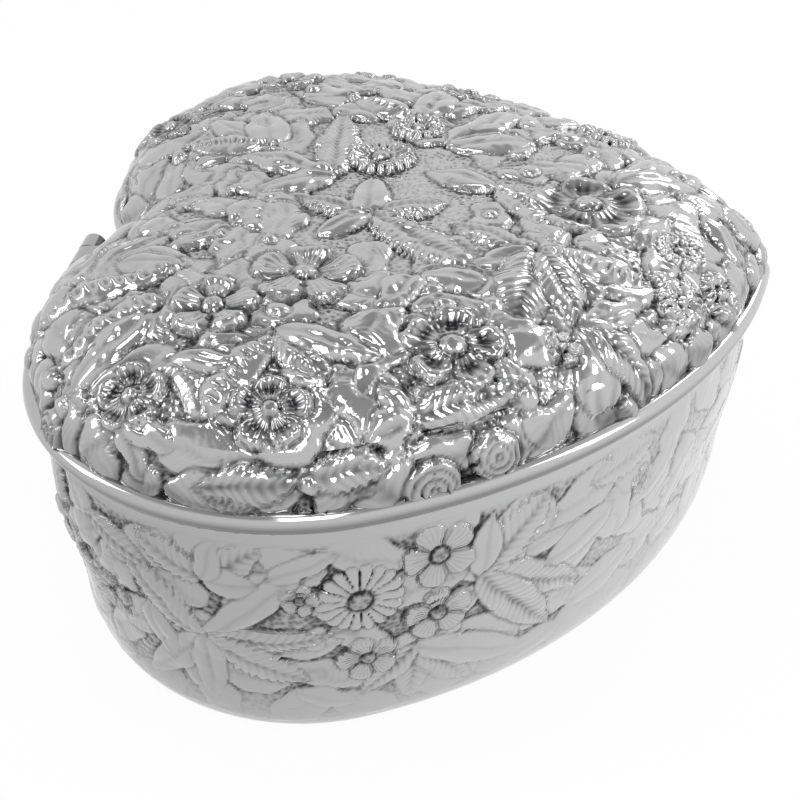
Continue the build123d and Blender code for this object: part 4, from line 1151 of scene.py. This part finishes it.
LID_SPRAYS = (
    Spray(
        -10,
        6,
        (Blade(67, 10, 3, Form.SERRATED), Blade(-72, 10.5, 3, Form.SERRATED), Blade(-2, 11, 3.5)),
    ),
    Spray(-10, 6, (Blade(-137, 21.5, 4, Form.SERRATED), Blade(138, 8.5, 3))),
    Spray(
        -19.5,
        -15,
        (Blade(57, 12, 3.5, Form.SERRATED), Blade(115, 8.5, 3), Blade(166, 13, 5, Form.VEINED)),
    ),
    Spray(-19.5, -15, (Blade(-137, 11.5, 3.5, Form.SERRATED), Blade(-102, 13.5, 3.5, Form.BEADED))),
    Spray(-19.5, -15, (Blade(-161, 13.5, 3.5, Form.VEINED),)),
    Spray(1, 11.5, (Blade(0, 22, 4, Form.SERRATED), Blade(63, 15, 3.5), Blade(118, 11, 3.5))),
    Spray(-25, 27, (Blade(106, 17, 2.5, Form.BEADED), Blade(67, 9, 3))),
    Spray(-30, 27, (Blade(124, 14, 3, Form.BEADED),)),
    Spray(-34, 28.5, (Blade(138, 10.5, 3),)),
    Spray(
        -37,
        14,
        (Blade(150, 13, 3, Form.BEADED), Blade(-141, 9, 3, Form.VEINED), Blade(-107, 11.5, 3)),
    ),
    Spray(-46.5, -0.5, (Blade(48, 4.5, 2), Blade(-62, 13, 3, Form.VEINED), Blade(116, 5, 2.4))),
    Spray(
        -31,
        -19,
        (Blade(-160, 7.5, 5.5, Form.FAN), Blade(-107, 9, 3.5, Form.VEINED), Blade(-56, 10, 2.5)),
    ),
    Spray(-5, -38, (Blade(-145, 6.5, 2.6),)),
    Spray(-46, 29, (Blade(-151, 5.5, 2.3), Blade(-126, 7, 2.3))),
    Spray(-52.5, 20.5, (Blade(-90, 10, 2.6, Form.SERRATED),)),
    Spray(-52, 9, (Blade(-75, 8, 2.4, Form.SERRATED),)),
    Spray(21, 0, (Blade(50, 14.5, 4, Form.BEADED), Blade(-20, 14, 4))),
    Spray(11, -4.5, (Blade(-37, 17.5, 4.5), Blade(-80, 12, 4))),
    Spray(-1, -27, (Blade(-36, 15, 3.6), Blade(-70, 12, 3.5))),
    Spray(-2, -11, (Blade(61, 10.8, 3.5), Blade(-149, 13, 3, Form.BEADED))),
    Spray(10, 21, (Blade(45, 15, 3.8), Blade(80, 13, 3.4, Form.BEADED), Blade(10, 13, 4))),
    Spray(-26, -1, (Blade(147, 8, 3), Blade(-95, 8, 3))),
    Spray(-42, 18, (Blade(80, 7, 2.3),)),
)

# The base, on its near side and mirrored on the other: places are depth y and height z,
# headings run from the heart's tip upwards.
BASE_BLOOMS = (
    Bloom(4.5, 24, 4.9, Form.DAISY),
    Bloom(-4, 28, 4.4, Form.FIVE),
    Bloom(-4, 18.5, 4.2, Form.FIVE),
    Bloom(4, 13.5, 3.7, Form.FIVE),
    Bloom(34.5, 17, 3.4, Form.FIVE),
    Bloom(11, 25, 2.2, Form.FIVE),
    Bloom(-29, 25, 2.2, Form.FIVE),
)
BASE_SPRAYS = (
    Spray(
        22.5,
        17,
        (Blade(44, 20, 3.2), Blade(4, 16, 3.4, Form.VEINED), Blade(-28, 14, 4, Form.SERRATED)),
    ),
    Spray(
        22.5,
        17,
        (Blade(134, 14, 4, Form.SERRATED), Blade(-131, 15, 3.4), Blade(-90, 11.5, 3.3)),
    ),
    Spray(
        21.5,
        27,
        (Blade(156, 9.5, 3.3, Form.SERRATED), Blade(37, 8.5, 3.2, Form.VEINED), Blade(0, 6, 3.5)),
    ),
    Spray(21.5, 27, (Blade(74, 5.5, 2.4),)),
    Spray(36, 29, (Blade(-13, 10.5, 2.9, Form.VEINED),)),
    Spray(39.5, 22.5, (Blade(-30, 8, 2.9),)),
    Spray(-8.5, 23, (Blade(42, 13, 4.5, Form.SERRATED), Blade(-31, 19, 4.6, Form.VEINED))),
    Spray(-8.5, 23, (Blade(-52, 19.5, 4.4, Form.VEINED), Blade(77, 8.5, 2.9))),
    Spray(
        -1.5,
        13.5,
        (Blade(-94, 10, 3.4, Form.VEINED), Blade(-52, 12, 3.7, Form.VEINED), Blade(-27, 17, 3.9)),
    ),
    Spray(-1.5, 13.5, (Blade(-135, 9.5, 3.3, Form.VEINED),)),
    Spray(-17, 20, (Blade(23, 11, 4.3),)),
    Spray(-20.5, 9.5, (Blade(13, 13, 4.4),)),
    Spray(-21.5, 29.5, (Blade(6, 12, 3.6, Form.SERRATED),)),
    Spray(-28, 21, (Blade(37, 10, 3.3),)),
    Spray(14, 28, (Blade(23, 8, 2.3),)),
    Spray(29, 20, (Blade(-80, 9.5, 3.1),)),
    Spray(-33.5, 12, (Blade(69, 12.5, 3.5),)),
    Spray(12, 8.5, (Blade(-23, 7.5, 2.6),)),
    Spray(-12.5, 4.5, (Blade(12, 9.5, 3.1),)),
)


@dataclass
class Ornament:
    """The chased flowers and leaves of one shell: a carpet of leaves and buds, sprays, then flowers.

    Lengths are in millimetres and turns in degrees. Pairs are the ends of a range.
    """

    body: str
    node: str
    finish: SilverFinish
    blooms: tuple[Bloom, ...]
    sprays: tuple[Spray, ...]
    bloom_lift: float
    spray_lift: float
    carpet_lift: float
    bud_lift: float
    spray_width: float
    carpet_step: float
    carpet_length: float
    carpet_width: float
    line: float
    undulation: float
    softness: float = 1.0
    bloom_warp: float = 0.12
    spray_warp: float = 0.2
    carpet_warp: float = 0.5
    carpet_turn: float = 35.0
    stray_turn: float = 40.0
    stray_reach: float = 1.4
    bud_share: float = 0.35
    clear_of: tuple[str, ...] = ("hinge_base_leaf", "hinge_lid_leaf", "hinge_pin")
    clearance: float = 0.8
    stands_for: str = ""
    stray_sizes: tuple[float, float] = (0.75, 1.2)
    carpet_lifts: tuple[float, float] = (0.6, 1.3)
    carpet_widths: tuple[float, float] = (0.8, 1.2)
    bud_sizes: tuple[float, float] = (0.8, 1.7)
    bud_rise: float = 0.2
    spray_lifts: tuple[float, float] = (0.85, 1.2)
    bloom_way: tuple[float, float, float] = (1.0, 0.0, 0.25)
    undulation_seed: int = 13
    undulation_waves: tuple[float, float] = (4.0, 11.0)
    under_rows: int = 5

    def outward(self, middle: Array, normal: Array) -> Array:
        """Which faces of the shell are its chased outside."""
        raise NotImplementedError

    def sides(self) -> tuple[float, ...]:
        """The sides of the box that carry the layout."""
        return (-1.0,)

    def spot(self, skin: Skin, a: float, b: float, side: float) -> Array:
        """A place of the layout on the shell."""
        raise NotImplementedError

    def ahead(self, skin: Skin, start: Array, blade: Blade, side: float) -> Array:
        """Where a leaf that springs from start has its tip."""
        raise NotImplementedError

    def carpet(self, skin: Skin) -> list[tuple[Array, Array]]:
        """The start and tip of each leaf of the carpet."""
        raise NotImplementedError

    def nets(self, skin: Skin) -> dict[str, Net]:
        """The nets that carry the work, by name."""
        raise NotImplementedError

    def settle(self, chasing: Chasing) -> None:
        """Changes the raised net where the work dies away."""

    def wreath(self, skin: Skin, rng: np.random.Generator) -> list[Laying]:
        """Flowers and leaves where the layout doesn't reach."""
        return []

    def carpet_row(self, inset: float, number: int) -> list[list[float]]:
        """The places of one row of the carpet, every other row shifted by half a step."""
        return HEART.row(inset, self.carpet_step, 0.0 if number % 2 else 0.5).tolist()

    def lean(self, number: int) -> float:
        """How far a leaf of the carpet turns from its row, in radians, to one side and the other."""
        return math.radians(self.carpet_turn if number % 2 else -self.carpet_turn)

    def strayed(
        self, skin: Skin, start: Array, tip: Array, rng: np.random.Generator
    ) -> tuple[Array, Array]:
        """Turns, moves and resizes a leaf of the carpet a little, as by hand.

        Args:
            skin: the shell's outside.
            start: where the leaf starts, in metres.
            tip: where it ends.
            rng: the source of the changes.

        Returns:
            The leaf's new start and tip.
        """
        middle, normal = skin.nearest(0.5 * (start + tip)[None, :])
        turn = math.radians(rng.uniform(-self.stray_turn, self.stray_turn))
        chord = tip - start
        chord = math.cos(turn) * chord + math.sin(turn) * np.cross(normal[0], chord)
        chord = rng.uniform(*self.stray_sizes) * chord
        middle = middle[0] + self.stray_reach * MM * rng.uniform(-1.0, 1.0, 3)
        return middle - 0.5 * chord, middle + 0.5 * chord

    def carpet_layings(self, skin: Skin, rng: np.random.Generator) -> list[Laying]:
        """The leaves of the carpet, with a bud on some of them."""
        laid = []
        for start, tip in self.carpet(skin):
            start, tip = self.strayed(skin, start, tip, rng)
            lift = self.carpet_lift * rng.uniform(*self.carpet_lifts)
            width = self.carpet_width * rng.uniform(*self.carpet_widths)
            laid.append(Laying(Form.BROAD, start, tip, width, lift, self.carpet_warp))
            if rng.uniform() < self.bud_share:
                bud = start + rng.uniform(0.0, 1.0) * (tip - start)
                reach = MM * np.array([rng.uniform(*self.bud_sizes), 0.0, self.bud_rise])
                laid.append(Laying(Form.BUD, bud, bud + reach, 0.0, self.bud_lift, 0.0, True))
        return laid

    def layings(self, skin: Skin, rng: np.random.Generator) -> list[Laying]:
        """Places every motif, in the order they are raised.

        Args:
            skin: the shell's outside.
            rng: the source of small differences.

        Returns:
            The motifs: the carpet, the wreath, then on each side sprays and flowers.
        """
        laid = self.carpet_layings(skin, rng)
        laid.extend(self.wreath(skin, rng))
        for side in self.sides():
            for spray in self.sprays:
                start = self.spot(skin, spray.a, spray.b, side)
                for blade in spray.blades:
                    tip = self.ahead(skin, start, blade, side)
                    width = self.spray_width * blade.width
                    lift = self.spray_lift * rng.uniform(*self.spray_lifts)
                    laid.append(Laying(blade.form, start, tip, width, lift, self.spray_warp))
            for bloom in self.blooms:
                start = self.spot(skin, bloom.a, bloom.b, side)
                tip = start + bloom.radius * MM * np.array(self.bloom_way)
                laid.append(Laying(bloom.form, start, tip, 0.0, self.bloom_lift, self.bloom_warp, True))
        return laid

    def build(self, rng: np.random.Generator) -> None:
        """Nets the shell, raises the motifs and makes the pieces.

        The first net stands for the solid relief, where there is one.

        Args:
            rng: the source of small differences.
        """
        skin = Skin(frame["nodes"][self.node], self.outward)
        laid = self.layings(skin, rng)
        for number, (name, net) in enumerate(self.nets(skin).items()):
            chasing = Chasing(name, skin, net, self.bloom_lift, self.line, self.softness)
            for laying in laid:
                chasing.lay(laying)
            swell = wander(chasing.place, self.undulation_seed, *self.undulation_waves)
            chasing.height = np.maximum(chasing.height + self.undulation * swell, 0.0)
            self.settle(chasing)
            for fitting in self.clear_of:
                chasing.keep_clear(frame["nodes"][fitting], self.clearance)
            obj = chasing.finish(self.finish, self.body)
            if self.stands_for and number == 0:
                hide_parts(self.stands_for)


@dataclass
class LidOrnament(Ornament):
    """The work on the dome, in high relief, placed in plan."""

    row_insets: tuple[float, ...] = (5.6, 9.6, 13.6, 17.6, 21.6, 25.6, 29.6)
    skirt_height: float = 39.6
    skirt_inset: float = 1.4
    skirt_step: float = 6.5
    skirt_half: float = 0.4
    skirt_lean: float = 1.3
    # Painted shade on the skirt: full up to this far above the foot and gone at this height, in
    # millimetres.
    skirt_painted_shade: float = 0.33
    skirt_shade_start: float = 1.0
    skirt_shade_top: float = 43.0
    foot: float = 37.35
    foot_inset: float = 1.1
    edge_inset: float = 4.0
    core_height: float = 33.0
    net_step: float = 0.34
    under_step: float = 3.0
    border_rows: int = 24
    least_up: float = 0.03

    def outward(self, middle: Array, normal: Array) -> Array:
        """The dome over its rim."""
        return (middle[:, 2] > RIM_TOP_Z) & (normal[:, 2] > self.least_up)

    def spot(self, skin: Skin, a: float, b: float, side: float) -> Array:
        """A place in plan on the dome."""
        return skin.under(a, b)

    def ahead(self, skin: Skin, start: Array, blade: Blade, side: float) -> Array:
        """The tip's place in plan on the dome."""
        turn = math.radians(blade.heading)
        x = start[0] / MM + blade.length * math.cos(turn)
        y = start[1] / MM + blade.length * math.sin(turn)
        return skin.under(x, y)

    def carpet(self, skin: Skin) -> list[tuple[Array, Array]]:
        """Rows of leaves round the dome and one round its skirt."""
        laid = []
        for number, inset in enumerate(self.row_insets):
            for place, (x, y, heading) in enumerate(self.carpet_row(inset, number)):
                turn = heading + self.lean(place)
                step_x = 0.5 * self.carpet_length * math.cos(turn)
                step_y = 0.5 * self.carpet_length * math.sin(turn)
                laid.append((skin.under(x - step_x, y - step_y), skin.under(x + step_x, y + step_y)))
        skirt = HEART.row(self.skirt_inset, self.skirt_step, 0.5).tolist()
        for place, (x, y, heading) in enumerate(skirt):
            half = self.skirt_half * self.carpet_length
            lean = self.skirt_lean if place % 2 else -self.skirt_lean
            step = np.array([half * math.cos(heading), half * math.sin(heading), lean])
            middle = np.array([x, y, self.skirt_height])
            start, tip = skin.nearest(np.stack([middle - step, middle + step]) * MM)[0]
            laid.append((start, tip))
        return laid

    def settle(self, chasing: Chasing) -> None:
        """Paints shade on the skirt, darkest near the bead and fading out higher up."""
        above_shade = smooth_step(self.foot + self.skirt_shade_start, self.skirt_shade_top, chasing.place[:, 2] / MM)
        chasing.low = chasing.low + self.skirt_painted_shade * (1.0 - above_shade)

    def nets(self, skin: Skin) -> dict[str, Net]:
        """Nets the crown, and a band from its edge down to the bead.

        Args:
            skin: the outside of the lid.

        Returns:
            The two nets by name.
        """
        crown = over_crown(skin, self.edge_inset, self.net_step, self.under_step)
        edge = HEART.row(self.edge_inset, self.net_step, 0.0)
        out = outward_of(edge)
        flat = edge[:, :2] - self.edge_inset * out
        core = np.column_stack([flat, np.full(len(edge), self.core_height)]) * MM
        top = np.array([skin.under(x, y) for x, y in edge[:, :2].tolist()])
        first = np.arctan2(top[:, 2] - core[:, 2], self.edge_inset * MM)
        last = math.atan2(self.foot - self.core_height, 2.0 * self.edge_inset - self.foot_inset)
        rows = [top]
        for share in np.linspace(0.0, 1.0, self.border_rows)[1:]:
            lean = first + share * (last - first)
            ray = np.column_stack([out * np.cos(lean)[:, None], np.sin(lean)])
            rows.append(skin.struck(core, ray))
        return {"lid_crown": crown, "lid_border": round_band(rows, self.under_rows)}


@dataclass
class BaseOrnament(Ornament):
    """The work on the wall, in low relief, dying away towards the heart's tip."""

    row_heights: tuple[float, ...] = (5.5, 11.5, 17.5, 23.5, 29.0)
    wall_inset: float = 2.0
    fade_start: float = 12.0
    fade_end: float = 34.0
    fade: float = 0.45
    foot: float = 1.8
    foot_kept: float = 0.3
    foot_rise: float = 1.0
    foot_fade: float = 12.0
    foot_edge: float = 0.8
    band_fade: float = 2.2
    band_end: float = 0.3
    band_edge: tuple[float, float] = (-0.8, -0.1)
    edge_sunk: float = 3.0
    wreath_start: float = 32.0
    wreath_step: float = 12.5
    wreath_heights: tuple[float, ...] = (22.0, 13.0, 25.0)
    wreath_leaves: int = 5
    wreath_turn: float = 18.0
    wreath_lengths: tuple[float, float] = (9.0, 14.0)
    wreath_widths: tuple[float, float] = (4.2, 5.6)
    wreath_radii: tuple[float, float] = (3.3, 4.6)
    wreath_way: tuple[float, float, float] = (0.7, 0.7, 0.25)
    wreath_flowers: tuple[Form, ...] = (Form.FIVE, Form.DAISY, Form.CUPPED)
    wreath_blades: tuple[Form, ...] = (Form.SERRATED, Form.PLAIN, Form.VEINED)
    core_inset: float = 12.0
    net_step: float = 0.285
    parting: float = 13.0
    upper_rows: int = 70
    lower_rows: int = 34
    heart_y: float = 5.0
    most_up: float = 0.9

    def outward(self, middle: Array, normal: Array) -> Array:
        """The outside of the wall."""
        away = normal[:, 0] * middle[:, 0] + normal[:, 1] * (middle[:, 1] - self.heart_y * MM)
        return (away > 0.0) & (np.abs(normal[:, 2]) < self.most_up)

    def sides(self) -> tuple[float, ...]:
        """Both sides carry the layout, one the mirror of the other."""
        return (-1.0, 1.0)

    def spot(self, skin: Skin, a: float, b: float, side: float) -> Array:
        """A place of that depth and height on one side of the wall."""
        return skin.struck(np.array([[0.0, a, b]]) * MM, np.array([[side, 0.0, 0.0]]))[0]

    def ahead(self, skin: Skin, start: Array, blade: Blade, side: float) -> Array:
        """The tip's place along the wall."""
        _, normal = skin.nearest(start[None, :])
        along = side * np.array([normal[0][1], -normal[0][0], 0.0])
        along = along / np.linalg.norm(along)
        turn = math.radians(blade.heading)
        way = math.cos(turn) * along + math.sin(turn) * np.array([0.0, 0.0, 1.0])
        return skin.nearest((start + blade.length * MM * way)[None, :])[0][0]

    def carpet(self, skin: Skin) -> list[tuple[Array, Array]]:
        """Rows of leaves round the wall."""
        laid = []
        for number, height in enumerate(self.row_heights):
            for place, (x, y, turn) in enumerate(self.carpet_row(self.wall_inset, number)):
                lean = self.lean(place + number)
                flat = math.cos(lean)
                way = np.array([math.cos(turn) * flat, math.sin(turn) * flat, math.sin(lean)])
                step = 0.5 * self.carpet_length * way
                middle = np.array([x, y, height])
                start, tip = skin.nearest(np.stack([middle - step, middle + step]) * MM)[0]
                laid.append((start, tip))
        return laid

    def wreath(self, skin: Skin, rng: np.random.Generator) -> list[Laying]:
        """Flowers round the back of the lobes, each amid its leaves.

        Args:
            skin: the outside of the wall.
            rng: the source of small differences.

        Returns:
            The leaves and the flower of each place in turn.
        """
        laid = []
        places = HEART.row(self.wall_inset, self.wreath_step, 0.5).tolist()
        for number, (x, y, _) in enumerate(places):
            if y < self.wreath_start:
                continue
            height = self.wreath_heights[number % len(self.wreath_heights)]
            start = skin.nearest(np.array([[x, y, height]]) * MM)[0][0]
            first = rng.uniform(0.0, 360.0)
            for leaf in range(self.wreath_leaves):
                turn = rng.uniform(-self.wreath_turn, self.wreath_turn)
                heading = first + 360.0 * leaf / self.wreath_leaves + turn
                length = rng.uniform(*self.wreath_lengths)
                width = rng.uniform(*self.wreath_widths)
                form = self.wreath_blades[leaf % len(self.wreath_blades)]
                tip = self.ahead(skin, start, Blade(heading, length, width, form), 1.0)
                laid.append(Laying(form, start, tip, width, self.spray_lift, self.spray_warp))
            tip = start + rng.uniform(*self.wreath_radii) * MM * np.array(self.wreath_way)
            form = self.wreath_flowers[number % len(self.wreath_flowers)]
            laid.append(Laying(form, start, tip, 0.0, self.bloom_lift, self.bloom_warp, True))
        return laid

    def nets(self, skin: Skin) -> dict[str, Net]:
        """Two bands round the wall, from the plain band under the seam down to its foot.

        Args:
            skin: the outside of the wall.

        Returns:
            The two nets by name.
        """
        line = HEART.row(0.0, self.net_step, 0.0)
        out = np.column_stack([outward_of(line), np.zeros(len(line))])
        core = np.column_stack([line[:, :2], np.zeros(len(line))]) - self.core_inset * out
        bands = {}
        for name, top, foot, count in (
            ("base_chasing", PLAIN_BAND_Z / MM, self.parting, self.upper_rows),
            ("base_foot", self.parting, self.foot, self.lower_rows),
        ):
            rows = []
            for height in np.linspace(top, foot, count):
                core[:, 2] = height
                rows.append(skin.struck(core * MM, out))
            bands[name] = round_band(rows, self.under_rows)
        return bands

    def settle(self, chasing: Chasing) -> None:
        """Lets the work die away towards the heart's tip, the foot and the plain band."""
        y, z = chasing.place[:, 1] / MM, chasing.place[:, 2] / MM
        top = PLAIN_BAND_Z / MM
        kept = 1.0 - self.fade * smooth_step(self.fade_start, self.fade_end, -y)
        risen = smooth_step(self.foot + self.foot_rise, self.foot_fade, z)
        kept *= self.foot_kept + (1.0 - self.foot_kept) * risen
        kept *= 1.0 - smooth_step(top - self.band_fade, top - self.band_end, z)
        edge = smooth_step(self.foot, self.foot + self.foot_edge, z)
        edge = edge * (1.0 - smooth_step(*self.band_edge, z - top))
        chasing.height = chasing.height * kept - self.edge_sunk * FOIL * (1.0 - edge)
        chasing.low *= kept
        chasing.ground *= kept
        chasing.veined *= kept


LID_WORK = LidOrnament(
    "lid",
    "lid_shell",
    SILVER_LID,
    LID_BLOOMS,
    LID_SPRAYS,
    bloom_lift=1.0,
    spray_lift=0.85,
    carpet_lift=0.7,
    bud_lift=0.75,
    spray_width=1.6,
    carpet_step=8.5,
    carpet_length=10.5,
    carpet_width=6.0,
    line=FULL_LINE,
    undulation=0.13,
    stands_for="lid_relief",
)
BASE_WORK = BaseOrnament(
    "base",
    "base_shell",
    SILVER_BASE,
    BASE_BLOOMS,
    BASE_SPRAYS,
    bloom_lift=0.56,
    spray_lift=0.46,
    carpet_lift=0.34,
    bud_lift=0.3,
    spray_width=1.35,
    carpet_step=9.0,
    carpet_length=11.0,
    carpet_width=6.2,
    line=0.32,
    undulation=0.07,
    softness=0.7,
    bloom_warp=0.06,
    spray_warp=0.12,
    carpet_warp=0.35,
    bud_share=0.25,
)


@dataclass(frozen=True)
class Bead:
    """The smooth round bead that runs along the foot of the lid; sizes in millimetres."""

    inset: float = 0.9
    middle_z: float = 36.8
    half_width: float = 1.22
    half_height: float = 1.27
    squareness: float = 2.15
    step: float = 0.7
    facets: int = 28
    crease: float = 180.0

    def bent(self, value: float) -> float:
        """A sine or cosine of the section, bent a little towards a square."""
        return math.copysign(abs(value) ** (2.0 / self.squareness), value)

    def build(self) -> bpy.types.Object:
        """Sweeps the bead's section round the heart and hangs it on the lid."""
        line = HEART.row(self.inset, self.step, 0.0)
        out = outward_of(line)
        rings = []
        for turn in np.linspace(0.0, FULL_TURN, self.facets, endpoint=False):
            across = self.half_width * self.bent(math.cos(turn))
            above = self.half_height * self.bent(math.sin(turn))
            height = np.full(len(line), self.middle_z + above)
            ring = np.column_stack([line[:, :2] + across * out, height])
            rings.append(ring * MM)
        net = round_band(rings, 0)
        # Its finish paints shade on the bead's underside.
        return make_piece("lid_bead", net.points, net.faces, SILVER_ROLL, "lid", self.crease)


@dataclass
class Padding:
    """A velvet piece made from the space of its board or lining, with soft edges."""

    name: str
    node: str
    body: str
    grain: float
    rounding: int
    fill: float
    weld: float = 0.01
    easing: float = 0.5

    def build(self) -> bpy.types.Object:
        """Copies the piece's space, remeshes and softens it, and dresses it in velvet."""
        source = frame["nodes"][self.node]
        obj = source.copy()
        obj.data = source.data.copy()
        obj.name = self.name
        obj.parent = None
        bpy.context.scene.collection.objects.link(obj)
        obj.hide_render = False
        make_active(obj)
        bpy.ops.object.mode_set(mode="EDIT")
        bpy.ops.mesh.select_all(action="SELECT")
        bpy.ops.mesh.remove_doubles(threshold=self.weld * MM)
        bpy.ops.object.mode_set(mode="OBJECT")
        remesh = obj.modifiers.new("soft", "REMESH")
        remesh.mode = "VOXEL"
        remesh.voxel_size = self.grain * MM
        bpy.ops.object.modifier_apply(modifier=remesh.name)
        smooth = obj.modifiers.new("round", "SMOOTH")
        smooth.factor = self.easing
        smooth.iterations = self.rounding
        bpy.ops.object.modifier_apply(modifier=smooth.name)
        bpy.ops.object.shade_smooth()
        clear_selection()
        obj.data.materials.clear()
        obj.data.materials.append(material_of(VELVET))
        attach(obj, self.body)
        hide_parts(self.node)
        LOG.info("%s: %d faces", self.name, len(obj.data.polygons))
        return obj


PADDINGS = (
    Padding("tray_pad", "tray_board", "base", 0.45, 3, 0.8),
    Padding("rim_velvet", "rim_lining", "base", 0.28, 2, 0.8),
    Padding("lid_velvet", "lid_lining", "lid", 0.5, 3, 0.8),
)


def dress_nodes() -> None:
    """Gives every piece of the frame the finish of its slot in the record."""
    slots = {row["node"]: row["material_slot"] for row in frame["record"]["subparts"]}
    for name, node in frame["nodes"].items():
        finish = FINISH_OF_SLOT[slots[name]]
        node.data.materials.clear()
        node.data.materials.append(material_of(finish))
        LOG.info("%s: %s", name, finish.name)


@dataclass(frozen=True)
class Lamp:
    """A soft rectangular lamp, placed in metres and aimed at the box."""

    name: str
    place: tuple[float, float, float]
    width: float
    height: float
    brightness: float
    target: tuple[float, float, float] = (0.0, 0.0, 0.03)

    def build(self) -> None:
        """Adds the lamp; its brightness is the radiance of its face."""
        data = bpy.data.lights.new(self.name, "AREA")
        data.shape = "RECTANGLE"
        data.size = self.width
        data.size_y = self.height
        data.energy = self.brightness * math.pi * self.width * self.height
        obj = bpy.data.objects.new(self.name, data)
        obj.location = self.place
        aim = Vector(self.target) - Vector(self.place)
        obj.rotation_euler = aim.to_track_quat("-Z", "Y").to_euler()
        bpy.context.scene.collection.objects.link(obj)


LAMPS = (
    Lamp("over_camera", (-0.30, -0.02, 0.52), 0.16, 0.34, 4.0),
    Lamp("overhead", (0.10, 0.12, 0.62), 0.14, 0.24, 3.5),
    Lamp("left_side", (-0.05, 0.50, 0.34), 0.14, 0.30, 4.0),
    Lamp("right_side", (-0.12, -0.50, 0.36), 0.12, 0.30, 4.0),
    Lamp("back_right", (0.40, -0.32, 0.40), 0.14, 0.24, 3.5),
)


@dataclass(frozen=True)
class Studio:
    """The white room: floor, sky, lamps and camera."""

    floor_side: float = 6.0
    floor_white: float = 0.85
    floor_glow: float = 1.0
    shadow_kept: float = 0.06
    sky: float = 0.75
    ceiling_start: float = 0.66
    ceiling_full: float = 0.92
    ceiling_dark: float = 0.52
    camera_place: tuple[float, float, float] = (-0.13170, -0.00297, 0.11077)
    camera_back: tuple[float, float, float] = (-0.8002, -0.0312, 0.5989)
    lens: float = 47.335
    sensor: float = 36.0
    nearest_seen: float = 0.005

    def seen_white(self, nodes: Nodes) -> Socket:
        """1 for rays that show the background: camera, glossy and transmission."""
        camera = nodes.node("ShaderNodeLightPath", "Is Camera Ray")
        glossy = nodes.node("ShaderNodeLightPath", "Is Glossy Ray")
        through = nodes.node("ShaderNodeLightPath", "Is Transmission Ray")
        return camera.most(glossy).most(through)

    def build(self) -> None:
        """Sets the floor, the sky, the lamps and the camera."""
        self.build_floor()
        self.build_sky()
        for lamp in LAMPS:
            lamp.build()
        self.build_camera()

    def build_floor(self) -> None:
        """A plain white floor that keeps a faint shadow."""
        clear_selection()
        bpy.ops.mesh.primitive_plane_add(size=self.floor_side)
        floor = bpy.context.object
        floor.name = "floor"
        material = bpy.data.materials.new("white_floor")
        material.use_nodes = True
        nodes = Nodes(material.node_tree)
        nodes.tree.nodes.remove(nodes.tree.nodes["Principled BSDF"])
        white = (self.floor_white, self.floor_white, self.floor_white, 1.0)
        diffuse = nodes.node("ShaderNodeBsdfDiffuse", 0, None, {"Color": white})
        glow = nodes.node("ShaderNodeEmission", 0, None, {"Strength": self.floor_glow})
        share = self.seen_white(nodes) * (1.0 - self.shadow_kept)
        mixed = nodes.node("ShaderNodeMixShader", 0, None, {0: share, 1: diffuse, 2: glow})
        nodes.give(nodes.tree.nodes["Material Output"].inputs["Surface"], mixed)
        floor.data.materials.append(material)
        clear_selection()

    def build_sky(self) -> None:
        """A white sky as seen, darker overhead, and a softer even one as a light."""
        world = bpy.data.worlds.new("white_room")
        bpy.context.scene.world = world
        world.use_nodes = True
        nodes = Nodes(world.node_tree)
        backdrop = nodes.tree.nodes["Background"]
        nodes.give(backdrop.inputs["Color"], (1.0, 1.0, 1.0, 1.0))
        way = nodes.node("ShaderNodeTexCoord", "Generated")
        ceiling = way.part("Z").ramp(self.ceiling_start, self.ceiling_full)
        seen = self.seen_white(nodes)
        strength = self.sky * (1.0 - seen) + seen * (1.0 - self.ceiling_dark * ceiling)
        nodes.give(backdrop.inputs["Strength"], strength)

    def build_camera(self) -> None:
        """The camera where the photo was taken from."""
        data = bpy.data.cameras.new("camera")
        data.lens = self.lens
        data.sensor_width = self.sensor
        data.clip_start = self.nearest_seen
        obj = bpy.data.objects.new("camera", data)
        obj.location = self.camera_place
        aim = -Vector(self.camera_back)
        obj.rotation_euler = aim.to_track_quat("-Z", "Y").to_euler()
        bpy.context.scene.collection.objects.link(obj)
        bpy.context.scene.camera = obj
        bpy.context.scene.view_settings.view_transform = "Standard"


def main() -> None:
    """Dresses the box piece by piece and sets the room round it."""
    rng = np.random.default_rng(SEED)
    clear_selection()
    dress_nodes()
    for work in (LID_WORK, BASE_WORK):
        work.build(rng)
    Bead().build()
    for padding in PADDINGS:
        padding.build()
    Studio().build()


if __name__ == "__main__":
    main()
